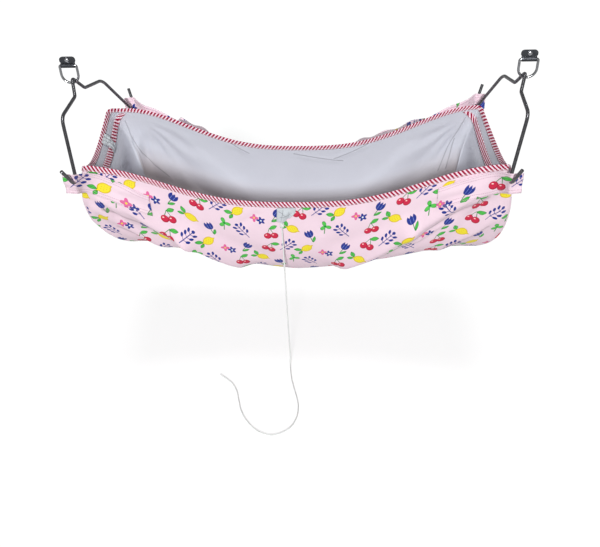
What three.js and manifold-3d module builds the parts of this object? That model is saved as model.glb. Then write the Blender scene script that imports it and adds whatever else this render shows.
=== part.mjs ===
// Hanging baby cradle: a cloth tub slung at its four corners from two bent wire yokes.
// Each yoke hangs in a D ring, and each ring hangs in the fold of a hanger plate.
// Millimetres, +Z up, +X along the cradle, +Y away from the side that the pull cord hangs on.
// The origin is midway between the two hanger plates, level with their middles.
import * as THREE from 'three';
import { mergeVertices } from 'three/addons/utils/BufferGeometryUtils.js';
import Module from 'manifold-3d';

const wasm = await Module();
wasm.setup();

// Clearances
const gap = 0.3; // between pieces that touch
const pivotGap = 0.9; // between a yoke's top bend and the round bottom of its ring
const holeGap = 0.5; // round the wire where it passes through the cloth
const overrun = 4; // how far a cutting tool runs past what it cuts

// Hanger plates, each a steel strip folded round the top bar of its ring
const platesApart = 1064; // between the middles of the two plates
const plate = {
  width: 37,
  height: 25,
  thickness: 2.2,
  slit: 0.6, // between the two leaves
  cornerRadius: 7,
  shoulder: 4, // height over which the plate narrows to the fold
};
const rivet = { headRadius: 5.5, headHeight: 2.8, shankRadius: 2.2, recess: 0.3, abovePlateMiddle: 5 };

const wireSides = 10; // faces round the wire of rings and yokes

// D rings, bent from round wire
const ring = { wire: 6, width: 47, cornerRadius: 4, height: 47 };

// Yokes, bent from round wire in one plane that leans outward going up.
// out is measured along Y from the middle, and down is measured in the plane from the top of the bend.
const yoke = {
  wire: 8,
  lean: THREE.MathUtils.degToRad(19.5),
  turn: { left: THREE.MathUtils.degToRad(0.6), right: 0 }, // how far each yoke is turned about the vertical
  neck: { out: 33, down: 33, bend: 17 },
  shoulder: { out: 138, down: 47, bend: 45 },
  hook: { out: 234, down: 182, bend: 13 },
  tip: { out: 260, down: 122 },
  hookLow: { out: 237, down: 171.5 }, // lowest point of the hook's bend
};

// Cloth tub: rim, floor line and walls
const rim = {
  middleHalfWidth: 167,
  endHalfWidth: 190,
  middleLevel: -282.5, // the long rims sag this far below the origin in the middle
  cornerLevel: -179.5,
  endSag: 57, // how far the short rims sag below the corners
  sagLength: 470, // the long rims sag from here, measured along X, to the middle
  left: { front: 469, middle: 517, rear: 530 }, // how far the left end reaches out, front to rear
  right: { front: 476, middle: 500, rear: 478 },
};
const sagPower = 1.4; // shapes the long rims' sag
const floor = { middleLevel: -538, leftLevel: -451, rightLevel: -470, halfLength: 375, levelPower: 1.45 };
// How boxy a wall turns into the floor: across is seen from the end, and along is seen from the front, near the
// rim and near the floor. At 1 or less a wall leans inward at once, as the end walls and the rear corners do.
const wallPower = {
  middle: 2.35,
  frontLeft: { across: 2.5, alongTop: 2.6, alongFoot: 2.6 },
  frontRight: { across: 2.1, alongTop: 2, alongFoot: 5 },
  end: { across: 2.6, alongTop: 0.85, alongFoot: 2.2 },
  rear: { across: 2.9, alongTop: 1, alongFoot: 1.4 },
};
const wallTurn = { fromShare: 0.2, toShare: 0.9 }; // the shares of the drop between which top turns into foot
const cornerBulge = 30; // how far the front corners swell out, below the rim
// How boxy the tub's upright corners are, and the shares of the drop over which they turn round
const upright = {
  front: { power: 20, fromShare: 0.12, toShare: 0.7 },
  rear: { power: 6, fromShare: 0.1, toShare: 0.45 },
};

// Cloth layers, counted in and out from the surface between lining and outer cloth
const outerThickness = 1;
const liningThickness = 0.8;
const trimThickness = 0.8;
const labelThickness = 0.5;
const strapThickness = 1.6;
const layer = {
  outer: [gap / 2, gap / 2 + outerThickness],
  lining: [-gap / 2 - liningThickness, -gap / 2],
};
layer.outerTrim = [layer.outer[1] + gap, layer.outer[1] + gap + trimThickness];
layer.innerTrim = [layer.lining[0] - gap - trimThickness, layer.lining[0] - gap];
layer.label = [layer.innerTrim[0] - gap - labelThickness, layer.innerTrim[0] - gap];
layer.strap = [layer.outerTrim[1] + gap, layer.outerTrim[1] + gap + strapThickness];

// Cloth grid: stations round the rim, and rows going down each wall
const stationsLong = 22;
const stationsEnd = 9;
const bindingWidth = 12;
const hem = { start: 28, end: 46 }; // the hem tape's two edges, measured down from the rim
const hemTop = { outer: 29, inner: 45 }; // where they reach the long rims, measured from the corner
const labelCells = { from: 2, to: 3 }; // the blank label's stations, counted from the rear left corner
const strapLow = 62; // lower edge of a corner strap, measured down from the rim
const rowDepths = [0, bindingWidth, hem.start, hem.end, strapLow];
const strapRows = { front: [1, 2, 3, 4], rear: [0, 2, 3, 4] }; // the rows that a corner strap follows
const hemRow = rowDepths.indexOf(hem.start);
const hemEndRow = rowDepths.indexOf(hem.end);
const rowsBelow = 5; // rows from there to the floor line
const rows = rowDepths.length + rowsBelow;

// Main folds of the hanging cloth: straight ridges on the long walls, from near a corner down to the floor.
// out is measured along X from the middle, and down is measured along the cloth from the rim.
const folds = [
  { from: { out: 425, down: 84 }, to: { out: 120, down: 275 }, rise: 9, halfWidth: 26 },
  { from: { out: 400, down: 165 }, to: { out: 290, down: 240 }, rise: -4, halfWidth: 24 },
  { from: { out: 320, down: 70 }, to: { out: 60, down: 200 }, rise: -4, halfWidth: 28 },
];
const foldEase = 60; // length over which a fold dies out at its ends

// Corner straps, loose at their outer ends, with a hole that the hook passes through
const strap = {
  from: 290, // measured along X, the strap is sewn to the wall at the rim stations from here
  to: 440, // to here
  leavesWall: 415, // where the strap starts to stand off the wall, measured along X
  tail: 26, // how far it runs past the hook
  tailTuck: 5, // how far its end turns back towards the cradle
  aboveHook: { front: 23, rear: 41 }, // cloth above the wire in the hook
  aboveRim: 8, // how far a rear strap's upper edge rises past the rim
  endHeight: { front: 46, rear: 60 },
};

// Tape tab, knot and pull cord, under the middle of the front rim
const tab = { width: 44, height: 36, depth: 5, thickness: 1.2, middleX: -14, offCloth: 0.6 };
const knot = { across: 11, height: 14, x: -26, offTab: 6.5, tuck: 1.5 };
const cord = { diameter: 3.5, sides: 8, steps: 72 };
// The cord's route on the ground, chosen by hand, after it drops straight down from the knot
const groundLevel = -766.5;
const cordOnGround = [
  [-21, -190], [-16, -228], [-6, -271], [4, -307], [10, -342], [8, -376], [-4, -407], [-27, -428], [-52, -435],
  [-76, -427], [-97, -411], [-116, -387], [-132, -357], [-143, -322], [-154, -286], [-168, -261], [-186, -243],
  [-206, -226],
];
const cordDrop = { levels: [-413, -494, -584, -674, -728], drift: 4, turn: [[-21.6, -178, 12], [-21.4, -182, 4]] };

// Finishes
const finish = {
  printedCotton: { color: 0xf4dce8, roughness: 0.85, metalness: 0 },
  lining: { color: 0xc8cbd6, roughness: 0.8, metalness: 0 },
  stripedTape: { color: 0xe07a98, roughness: 0.8, metalness: 0 },
  whiteTape: { color: 0xf2f2f0, roughness: 0.85, metalness: 0 },
  whiteCord: { color: 0xf0f0ee, roughness: 0.8, metalness: 0 },
  gunmetal: { color: 0x5a5a5e, roughness: 0.35, metalness: 0.9 },
  blackPlate: { color: 0x36383c, roughness: 0.4, metalness: 0.85 },
  rivetSteel: { color: 0x9a9ca2, roughness: 0.25, metalness: 0.95 },
};

const cradle = new THREE.Group();
cradle.name = 'hanging_cradle';

function addPiece(name, geometry, look) {
  const mesh = new THREE.Mesh(geometry, new THREE.MeshStandardMaterial(look));
  mesh.name = name;
  cradle.add(mesh);
  return mesh;
}

// Solid helpers
const bendStep = THREE.MathUtils.degToRad(17); // the most that a wire's facets turn at a time

function weld(geometry) {
  const bare = geometry.clone();
  bare.deleteAttribute('normal');
  bare.deleteAttribute('uv');
  return mergeVertices(bare);
}

function toSolid(geometry) {
  const welded = weld(geometry);
  const vertProperties = new Float32Array(welded.attributes.position.array);
  const triVerts = new Uint32Array(welded.index.array);
  return new wasm.Manifold(new wasm.Mesh({ numProp: 3, vertProperties, triVerts }));
}

function fromSolid(solid) {
  const mesh = solid.getMesh();
  const geometry = new THREE.BufferGeometry();
  geometry.setAttribute('position', new THREE.BufferAttribute(new Float32Array(mesh.vertProperties), mesh.numProp));
  geometry.setIndex(new THREE.BufferAttribute(new Uint32Array(mesh.triVerts), 1));
  return geometry;
}

function fromLists(points, triangles) {
  const geometry = new THREE.BufferGeometry();
  geometry.setAttribute('position', new THREE.Float32BufferAttribute(points.flatMap((p) => [p.x, p.y, p.z]), 3));
  geometry.setIndex(triangles.flat());
  return geometry;
}

// A wire's line through corner points, each turned by its own bend radius. Its stations are close
// together round the bends and far apart on the straights.
function bentPath(corners, closed = false) {
  const stations = [];
  const count = corners.length;
  const bends = corners.map((corner, i) => {
    const before = corners[(i + count - 1) % count].at;
    const after = corners[(i + 1) % count].at;
    if (!corner.bend) return { start: corner.at, end: corner.at };
    const back = before.clone().sub(corner.at).normalize();
    const ahead = after.clone().sub(corner.at).normalize();
    const reach = corner.bend / Math.tan(back.angleTo(ahead) / 2);
    const start = corner.at.clone().addScaledVector(back, reach);
    const end = corner.at.clone().addScaledVector(ahead, reach);
    const towardCentre = back.clone().add(ahead).normalize();
    const centre = corner.at.clone().addScaledVector(towardCentre, corner.bend / Math.sin(back.angleTo(ahead) / 2));
    return { start, end, centre };
  });
  bends.forEach((bend, i) => {
    if (bend.centre) {
      stations.push(...arcStations(bend));
    } else {
      const tangent = i ? bend.start.clone().sub(bends[i - 1].end) : bends[1].start.clone().sub(bend.end);
      stations.push({ at: bend.start, tangent: tangent.normalize() });
    }
  });
  if (closed) stations.push(stations[0]);
  return stationCurve(stations);
}

function arcStations({ start, end, centre }) {
  const from = start.clone().sub(centre);
  const angle = from.angleTo(end.clone().sub(centre));
  const axis = from.clone().cross(end.clone().sub(centre)).normalize();
  const steps = Math.max(2, Math.ceil(angle / bendStep));
  const stations = [];
  for (let i = 0; i <= steps; i++) {
    const spoke = from.clone().applyAxisAngle(axis, (angle * i) / steps);
    stations.push({ at: spoke.clone().add(centre), tangent: axis.clone().cross(spoke).normalize() });
  }
  return stations;
}

// A curve that passes through given stations, one to each equal share of its length parameter
function stationCurve(stations) {
  const curve = new THREE.Curve();
  const last = stations.length - 1;
  curve.steps = last;
  curve.getPointAt = (u, target = new THREE.Vector3()) => target.copy(stations[Math.round(u * last)].at);
  curve.getTangentAt = (u, target = new THREE.Vector3()) => target.copy(stations[Math.round(u * last)].tangent);
  return curve;
}

function roundShape(radius, sides) {
  const shape = new THREE.Shape();
  for (let i = 0; i < sides; i++) {
    const angle = (2 * Math.PI * (i + 0.5)) / sides;
    const x = radius * Math.cos(angle);
    const y = radius * Math.sin(angle);
    if (i) shape.lineTo(x, y);
    else shape.moveTo(x, y);
  }
  return shape;
}

function tube(path, radius, sides, steps = path.steps) {
  return new THREE.ExtrudeGeometry(roundShape(radius, sides), { extrudePath: path, steps, bevelEnabled: false });
}

// A closed loop of round wire that lies in the X-Z plane
function wireLoop(path, radius, sides) {
  const steps = path.steps;
  const points = [];
  const triangles = [];
  const across = new THREE.Vector3(0, 1, 0);
  for (let i = 0; i < steps; i++) {
    const middle = path.getPointAt(i / steps);
    const side = path.getTangentAt(i / steps).cross(across);
    for (let j = 0; j < sides; j++) {
      const angle = (2 * Math.PI * j) / sides;
      points.push(middle.clone().addScaledVector(side, radius * Math.cos(angle))
        .addScaledVector(across, radius * Math.sin(angle)));
      const [a, b] = [i * sides + j, i * sides + ((j + 1) % sides)];
      const [c, d] = [((i + 1) % steps) * sides + j, ((i + 1) % steps) * sides + ((j + 1) % sides)];
      triangles.push([a, b, c], [b, d, c]);
    }
  }
  return faceOutward(fromLists(points, triangles));
}

function signedVolume(geometry) {
  const at = geometry.attributes.position;
  const index = geometry.index.array;
  const corner = (i) => new THREE.Vector3().fromBufferAttribute(at, index[i]);
  let sum = 0;
  for (let i = 0; i < index.length; i += 3) sum += corner(i).dot(corner(i + 1).cross(corner(i + 2)));
  return sum / 6;
}

function faceOutward(geometry) {
  if (signedVolume(geometry) < 0) {
    const index = geometry.index.array;
    for (let i = 0; i < index.length; i += 3) [index[i], index[i + 1]] = [index[i + 1], index[i]];
  }
  return geometry;
}

// Hanger plates
const boreRadius = ring.wire / 2 + gap;
const foldRadius = boreRadius + plate.thickness;
const barLevel = -plate.height / 2 + foldRadius;
const ringHalf = (ring.width - ring.wire) / 2; // to the middle of the wire
const foldWidth = 2 * (ringHalf - ring.cornerRadius) - gap; // the fold holds the straight part of the ring's bar

function plateGeometry() {
  const top = plate.height / 2;
  const frontIn = boreRadius - plate.slit; // inner face of the front leaf
  const frontOut = frontIn - plate.thickness;
  const arcSteps = 12;
  const profile = new THREE.Shape();
  profile.moveTo(foldRadius, top);
  profile.lineTo(foldRadius, barLevel);
  const foldEnd = 2 * Math.PI - Math.acos(frontOut / foldRadius);
  for (let i = 1; i <= arcSteps; i++) {
    const angle = (-foldEnd * i) / arcSteps;
    profile.lineTo(foldRadius * Math.cos(angle), barLevel + foldRadius * Math.sin(angle));
  }
  profile.lineTo(frontOut, top);
  profile.lineTo(frontIn, top);
  const mouth = Math.acos(frontIn / boreRadius);
  for (let i = 0; i <= arcSteps; i++) {
    const angle = mouth + ((2 * Math.PI - mouth) * i) / arcSteps;
    profile.lineTo(boreRadius * Math.cos(angle), barLevel + boreRadius * Math.sin(angle));
  }
  profile.lineTo(boreRadius, top);
  const folded = new THREE.ExtrudeGeometry(profile, { depth: plate.width, bevelEnabled: false, steps: 1 });
  folded.applyMatrix4(new THREE.Matrix4().set(0, 0, 1, -plate.width / 2, 1, 0, 0, 0, 0, 1, 0, 0, 0, 0, 0, 1));

  const half = plate.width / 2;
  const foldHalf = foldWidth / 2;
  const shoulderLow = barLevel + foldRadius;
  const face = new THREE.Shape();
  face.moveTo(-foldHalf, -top - overrun);
  face.lineTo(foldHalf, -top - overrun);
  face.lineTo(foldHalf, shoulderLow);
  face.lineTo(half, shoulderLow + plate.shoulder);
  face.lineTo(half, top - plate.cornerRadius);
  face.absarc(half - plate.cornerRadius, top - plate.cornerRadius, plate.cornerRadius, 0, Math.PI / 2);
  face.absarc(plate.cornerRadius - half, top - plate.cornerRadius, plate.cornerRadius, Math.PI / 2, Math.PI);
  face.lineTo(-half, shoulderLow + plate.shoulder);
  face.lineTo(-foldHalf, shoulderLow);
  const depth = 2 * (foldRadius + overrun);
  const blank = new THREE.ExtrudeGeometry(face, { depth, bevelEnabled: false, steps: 1, curveSegments: 6 });
  blank.translate(0, 0, -depth / 2);
  blank.rotateX(Math.PI / 2);

  const hole = new THREE.CylinderGeometry(rivet.shankRadius + gap, rivet.shankRadius + gap, depth, 20);
  hole.translate(0, 0, rivet.abovePlateMiddle);
  return fromSolid(toSolid(folded).intersect(toSolid(blank)).subtract(toSolid(hole)));
}

function rivetGeometry() {
  const frontFace = boreRadius - plate.slit - plate.thickness; // Y of the plate's front
  const headBase = frontFace - gap;
  const domeSteps = 5;
  const profile = [new THREE.Vector2(0, foldRadius - rivet.recess)];
  profile.push(new THREE.Vector2(rivet.shankRadius, foldRadius - rivet.recess));
  profile.push(new THREE.Vector2(rivet.shankRadius, headBase));
  for (let i = 0; i <= domeSteps; i++) {
    const angle = (Math.PI / 2) * (i / domeSteps);
    const radius = i === domeSteps ? 0 : rivet.headRadius * Math.cos(angle);
    profile.push(new THREE.Vector2(radius, headBase - rivet.headHeight * Math.sin(angle)));
  }
  const geometry = new THREE.LatheGeometry(profile, 20);
  geometry.translate(0, 0, rivet.abovePlateMiddle);
  return faceOutward(weld(geometry));
}

// D rings: a straight top bar, straight sides and a half-round bottom
const ringArcLevel = barLevel - (ring.height - ring.wire - ringHalf);

function ringGeometry(x) {
  const low = ringArcLevel - ringHalf;
  const corner = (dx, z, bend) => ({ at: new THREE.Vector3(x + dx, 0, z), bend });
  const path = bentPath([
    corner(-ringHalf, barLevel, ring.cornerRadius),
    corner(ringHalf, barLevel, ring.cornerRadius),
    corner(ringHalf, low, ringHalf),
    corner(-ringHalf, low, ringHalf),
  ], true);
  return wireLoop(path, ring.wire / 2, wireSides);
}

// Yokes. The bend at the top turns about the ring's wire, on the ring's round bottom.
const turnRadius = (ring.wire + yoke.wire) / 2 + pivotGap;
const vertical = new THREE.Vector3(0, 0, 1);
const upX = Math.sin(yoke.lean);
const upZ = Math.cos(yoke.lean);

function seatOnRing(side) {
  return new THREE.Vector3(
    side * (platesApart / 2 - ringHalf * upX), 0, ringArcLevel - ringHalf * upZ);
}

function yokePoint(side, out, down) {
  const drop = down - turnRadius;
  const fromSeat = new THREE.Vector3(-side * drop * upX, out, -drop * upZ);
  fromSeat.applyAxisAngle(vertical, -(side < 0 ? yoke.turn.left : yoke.turn.right));
  return seatOnRing(side).add(fromSeat);
}

function yokePath(side) {
  const half = ['tip', 'hook', 'shoulder', 'neck'].map((name) => yoke[name]);
  const topBend = { out: 0, down: turnRadius - Math.SQRT2 * turnRadius, bend: turnRadius };
  const front = half.map((p) => ({ at: yokePoint(side, -p.out, p.down), bend: p.bend }));
  const rear = half.map((p) => ({ at: yokePoint(side, p.out, p.down), bend: p.bend })).reverse();
  const top = { at: yokePoint(side, topBend.out, topBend.down), bend: topBend.bend };
  return bentPath([...front, top, ...rear]);
}

// Cloth surface between lining and outer cloth
function mix(a, b, share) {
  return a + (b - a) * share;
}

function halfWave(share) {
  return (1 - Math.cos(Math.PI * share)) / 2;
}

function bulgeShape(share) {
  return Math.sin(Math.PI * share);
}

// Reach of an end at a place across it: share runs from 0 at the front to 1 at the rear
function endReach(end, share) {
  const straight = mix(end.front, end.rear, share);
  const middleOut = end.middle - (end.front + end.rear) / 2;
  return straight + middleOut * bulgeShape(share);
}

function longRim(sign, x) {
  const share = Math.min(1, Math.abs(x) / rim.sagLength);
  const halfWidth = mix(rim.middleHalfWidth, rim.endHalfWidth, share * share);
  const level = mix(rim.middleLevel, rim.cornerLevel, halfWave(share ** sagPower));
  return new THREE.Vector3(x, sign * halfWidth, level);
}

function shortRim(sign, share) {
  const end = sign < 0 ? rim.left : rim.right;
  const y = mix(-rim.endHalfWidth, rim.endHalfWidth, share);
  const level = rim.cornerLevel - rim.endSag * bulgeShape(share);
  return new THREE.Vector3(sign * endReach(end, share), y, level);
}

function floorPoint(x) {
  const along = THREE.MathUtils.clamp(x, -floor.halfLength, floor.halfLength);
  const share = Math.abs(along) / floor.halfLength;
  const endLevel = x < 0 ? floor.leftLevel : floor.rightLevel;
  const level = mix(floor.middleLevel, endLevel, share ** floor.levelPower);
  return new THREE.Vector3(along, 0, level);
}

// Stations go round the rim: front from left to right, right end, rear from right to left, left end
const rimStations = [];
for (let i = 0; i < stationsLong; i++) {
  rimStations.push({ side: 'front', at: longRim(-1, mix(-rim.left.front, rim.right.front, i / stationsLong)) });
}
for (let i = 0; i < stationsEnd; i++) {
  rimStations.push({ side: 'right', at: shortRim(1, i / stationsEnd) });
}
for (let i = 0; i < stationsLong; i++) {
  rimStations.push({ side: 'rear', at: longRim(1, mix(rim.right.rear, -rim.left.rear, i / stationsLong)) });
}
for (let i = 0; i < stationsEnd; i++) {
  rimStations.push({ side: 'left', at: shortRim(-1, 1 - i / stationsEnd) });
}
const stationCount = rimStations.length;
const firstOf = {
  front: 0,
  right: stationsLong,
  rear: stationsLong + stationsEnd,
  left: 2 * stationsLong + stationsEnd,
};
const cellsOf = { front: stationsLong, right: stationsEnd, rear: stationsLong, left: stationsEnd };
const spacing = {
  front: (rim.left.front + rim.right.front) / stationsLong,
  rear: (rim.left.rear + rim.right.rear) / stationsLong,
};

// A wall runs from its rim station to the floor line, measured along the cloth. Seen from the end and from the
// front it follows two superellipses of the same drop.
function wallPoints(start, isEnd) {
  const foot = floorPoint(start.x);
  const end = start.x < 0 ? 'left' : 'right';
  const face = start.y < 0 ? 'front' : 'rear';
  const past = Math.max(0, Math.abs(start.x) - floor.halfLength);
  const endShare = Math.min(1, past / (rim[end][face] - floor.halfLength));
  const acrossShare = Math.abs(start.y) / rim.endHalfWidth;
  const corner = face === 'rear' ? wallPower.rear : wallPower[end === 'left' ? 'frontLeft' : 'frontRight'];
  const nearCorner = isEnd ? 1 - bulgeShape((1 + acrossShare) / 2) : 1;
  const nearEnd = isEnd ? 1 : Math.min(1, Math.abs(start.x) / rim.sagLength) ** 2;
  const across = mix(wallPower.middle, mix(wallPower.end.across, corner.across, nearCorner), nearEnd);
  const alongTop = mix(wallPower.end.alongTop, corner.alongTop, nearCorner);
  const alongFoot = mix(wallPower.end.alongFoot, corner.alongFoot, nearCorner);
  const swell = face === 'front' ? cornerBulge * nearCorner * endShare : 0;
  const { power, fromShare, toShare } = upright[face];
  const rounded = (endShare ** power + acrossShare ** power) ** (-1 / power) * Math.max(endShare, acrossShare);
  const fine = 120;
  const points = [];
  for (let i = 0; i <= fine; i++) {
    const angle = (Math.PI / 2) * (i / fine);
    const downShare = Math.sin(angle) ** (2 / across);
    const rounding = mix(1, rounded, THREE.MathUtils.smoothstep(downShare, fromShare, toShare));
    const acrossOut = rounding * Math.cos(angle) ** (2 / across);
    const turned = THREE.MathUtils.smoothstep(downShare, wallTurn.fromShare, wallTurn.toShare);
    const along = mix(alongTop, alongFoot, turned);
    const alongOut = rounding * Math.max(0, 1 - downShare ** along) ** (1 / along);
    const p = new THREE.Vector3(
      mix(foot.x, start.x, alongOut), mix(foot.y, start.y, acrossOut), mix(start.z, foot.z, downShare));
    p.x += Math.sign(start.x) * swell * bulgeShape(downShare) * alongOut;
    points.push(p);
  }
  const lengths = [0];
  for (let i = 1; i <= fine; i++) lengths.push(lengths[i - 1] + points[i].distanceTo(points[i - 1]));
  const total = lengths[fine];
  const distances = [...rowDepths];
  for (let k = 1; k <= rowsBelow; k++) distances.push(mix(strapLow, total, k / rowsBelow));
  return distances.map((distance) => {
    let i = 1;
    while (i < fine && lengths[i] < distance) i++;
    const share = (distance - lengths[i - 1]) / (lengths[i] - lengths[i - 1]);
    return { at: points[i - 1].clone().lerp(points[i], share), down: distance, isEnd };
  });
}

// How far the folds lift the cloth at a place on a long wall
function foldRise(x, down) {
  let rise = 0;
  for (const fold of folds) {
    const along = new THREE.Vector2(fold.to.out - fold.from.out, fold.to.down - fold.from.down);
    const length = along.length();
    along.divideScalar(length);
    const offset = new THREE.Vector2(Math.abs(x) - fold.from.out, down - fold.from.down);
    const reach = offset.dot(along);
    const aside = offset.cross(along);
    const ends = THREE.MathUtils.smoothstep(reach, -foldEase / 2, foldEase / 2)
      * (1 - THREE.MathUtils.smoothstep(reach, length - foldEase / 2, length + foldEase / 2));
    rise += fold.rise * ends * Math.exp(-((aside / fold.halfWidth) ** 2));
  }
  return rise;
}

// The surface as a grid of stations and rows. The last row's points are shared across the floor line.
const surface = { points: [], down: [], id: [] };
const floorIds = new Map();
rimStations.forEach((station, i) => {
  const isEnd = station.side === 'left' || station.side === 'right';
  const wall = wallPoints(station.at, isEnd);
  surface.id.push(wall.map((p, row) => {
    // The rear stations share the floor points of the front stations that face them
    const key = row === rows - 1 ? floorKey(i) : null;
    if (key !== null && floorIds.has(key)) return floorIds.get(key);
    surface.points.push(p.at);
    surface.down.push(isEnd ? null : p.down);
    const id = surface.points.length - 1;
    if (key !== null) floorIds.set(key, id);
    return id;
  }));
});

function floorKey(i) {
  const facing = i > firstOf.rear && i < firstOf.left ? firstOf.rear - i + stationsLong : i;
  const p = rimStations[facing % stationCount].at;
  if (Math.abs(p.x) >= floor.halfLength || i % stationCount >= firstOf.left) return p.x < 0 ? 'left' : 'right';
  return `${facing}`;
}

const cells = [];
for (let i = 0; i < stationCount; i++) {
  const next = (i + 1) % stationCount;
  for (let row = 0; row < rows - 1; row++) {
    const [a, b] = [surface.id[i][row], surface.id[next][row]];
    const [c, d] = [surface.id[i][row + 1], surface.id[next][row + 1]];
    const triangles = c === d ? [[a, c, b]] : [[a, c, b], [b, c, d]];
    cells.push({ station: i, row, triangles });
  }
}

function vertexNormals(points, triangles) {
  const geometry = fromLists(points, triangles);
  geometry.computeVertexNormals();
  const at = geometry.attributes.normal;
  return points.map((p, i) => new THREE.Vector3().fromBufferAttribute(at, i));
}

const allTriangles = cells.flatMap((cell) => cell.triangles);
const smoothNormals = vertexNormals(surface.points, allTriangles);
surface.points.forEach((p, i) => {
  if (surface.down[i] !== null) p.addScaledVector(smoothNormals[i], foldRise(p.x, surface.down[i]));
});
surface.normals = vertexNormals(surface.points, allTriangles);

function onSurface(station, row, offset, share = 0) {
  const wrapped = (station + stationCount) % stationCount;
  const id = surface.id[wrapped][row];
  const p = surface.points[id].clone().addScaledVector(surface.normals[id], offset);
  if (!share) return p;
  return p.lerp(onSurface(station, row + 1, offset), share);
}

// A layer of cloth over chosen cells of the surface, between two offsets from it
function clothLayer([inner, outer], wanted = () => true) {
  const used = new Map();
  const points = [];
  const place = (id, offset) => {
    const key = `${id}:${offset}`;
    if (!used.has(key)) {
      used.set(key, points.length);
      points.push(surface.points[id].clone().addScaledVector(surface.normals[id], offset));
    }
    return used.get(key);
  };
  const triangles = [];
  const edges = new Map();
  for (const cell of cells.filter(wanted)) {
    for (const [a, b, c] of cell.triangles) {
      triangles.push([place(a, outer), place(b, outer), place(c, outer)]);
      triangles.push([place(a, inner), place(c, inner), place(b, inner)]);
      for (const [p, q] of [[a, b], [b, c], [c, a]]) {
        if (edges.has(`${q}:${p}`)) edges.delete(`${q}:${p}`);
        else edges.set(`${p}:${q}`, [p, q]);
      }
    }
  }
  for (const [p, q] of edges.values()) {
    triangles.push([place(p, outer), place(p, inner), place(q, outer)]);
    triangles.push([place(q, outer), place(p, inner), place(q, inner)]);
  }
  return faceOutward(fromLists(points, triangles));
}

// A strip whose section changes along it: loops of points, joined in order and closed at both ends.
// The sides that are listed as turned have their facets split along the other diagonal.
function loft(loops, capQuads, turned = []) {
  const size = loops[0].length;
  const points = loops.flat();
  const triangles = [];
  for (let i = 0; i < loops.length - 1; i++) {
    for (let j = 0; j < size; j++) {
      const [a, b] = [i * size + j, i * size + ((j + 1) % size)];
      if (turned.includes(j)) triangles.push([a, b, b + size], [a, b + size, a + size]);
      else triangles.push([a, b, a + size], [b, b + size, a + size]);
    }
  }
  const last = (loops.length - 1) * size;
  for (const [a, b, c, d] of capQuads) {
    triangles.push([a, c, b], [a, d, c]);
    triangles.push([last + a, last + b, last + c], [last + a, last + c, last + d]);
  }
  return faceOutward(fromLists(points, triangles));
}

// Bias binding folded over the rim, from one corner to the next
function bindingGeometry(side) {
  const [innerOut, innerIn] = layer.innerTrim;
  const [outerIn, outerOut] = layer.outerTrim;
  const legShare = 1 - gap / bindingWidth;
  const section = (station) => {
    const up = onSurface(station, 0, 0).sub(onSurface(station, 1, 0)).normalize();
    const leg = (offset) => onSurface(station, 0, offset, legShare);
    const crest = (offset, rise) => onSurface(station, 0, offset).addScaledVector(up, rise);
    return [
      leg(innerOut), crest(innerOut, gap + trimThickness), crest(outerOut, gap + trimThickness), leg(outerOut),
      leg(outerIn), crest(outerIn, gap), crest(innerIn, gap), leg(innerIn),
    ];
  };
  const first = firstOf[side];
  const count = cellsOf[side];
  const loops = [];
  for (let i = 0; i <= count; i++) loops.push(section(first + i));
  const cellLength = loops[0][0].distanceTo(loops[1][0]);
  const pullBack = (2 * gap) / cellLength;
  loops[0] = loops[0].map((p, j) => p.clone().lerp(loops[1][j], pullBack));
  loops[count] = loops[count].map((p, j) => p.clone().lerp(loops[count - 1][j], pullBack));
  return loft(loops, [[0, 1, 6, 7], [1, 2, 5, 6], [2, 3, 4, 5]], [0, 4]);
}

// A point on the facets of a layer, at a part share of a station and a depth below the rim
function betweenStations(station, depth, offset) {
  const first = Math.floor(station);
  const row = rowDepths.findLastIndex((level) => level <= depth);
  const along = station - first;
  const down = (depth - rowDepths[row]) / (rowDepths[row + 1] - rowDepths[row]);
  const [a, b] = [onSurface(first, row, offset), onSurface(first + 1, row, offset)];
  const [c, d] = [onSurface(first, row + 1, offset), onSurface(first + 1, row + 1, offset)];
  if (along + down <= 1) return a.clone().addScaledVector(b.sub(a), along).addScaledVector(c.sub(a), down);
  return d.clone().addScaledVector(c.sub(d), 1 - along).addScaledVector(b.sub(d), 1 - down);
}

// Hem tape: across an end, then round both corners and up to the binding of each long rim
function hemTapeGeometry(side) {
  const [far, near] = layer.innerTrim;
  const rung = (upper, lower) => [
    betweenStations(...upper, far), betweenStations(...lower, far),
    betweenStations(...lower, near), betweenStations(...upper, near),
  ];
  const first = firstOf[side];
  const last = first + cellsOf[side];
  const [before, after] = side === 'left' ? [spacing.rear, spacing.front] : [spacing.front, spacing.rear];
  const onLongRim = (corner, step) => rung(
    [corner + hemTop.outer / step, bindingWidth + gap], [corner + hemTop.inner / step, bindingWidth + gap]);
  const rungs = [onLongRim(first, -before)];
  for (let i = first; i <= last; i++) rungs.push(rung([i, hem.start], [i, hem.end - gap]));
  rungs.push(onLongRim(last, after));
  return loft(rungs, [[0, 1, 2, 3]], [2]);
}

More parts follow.
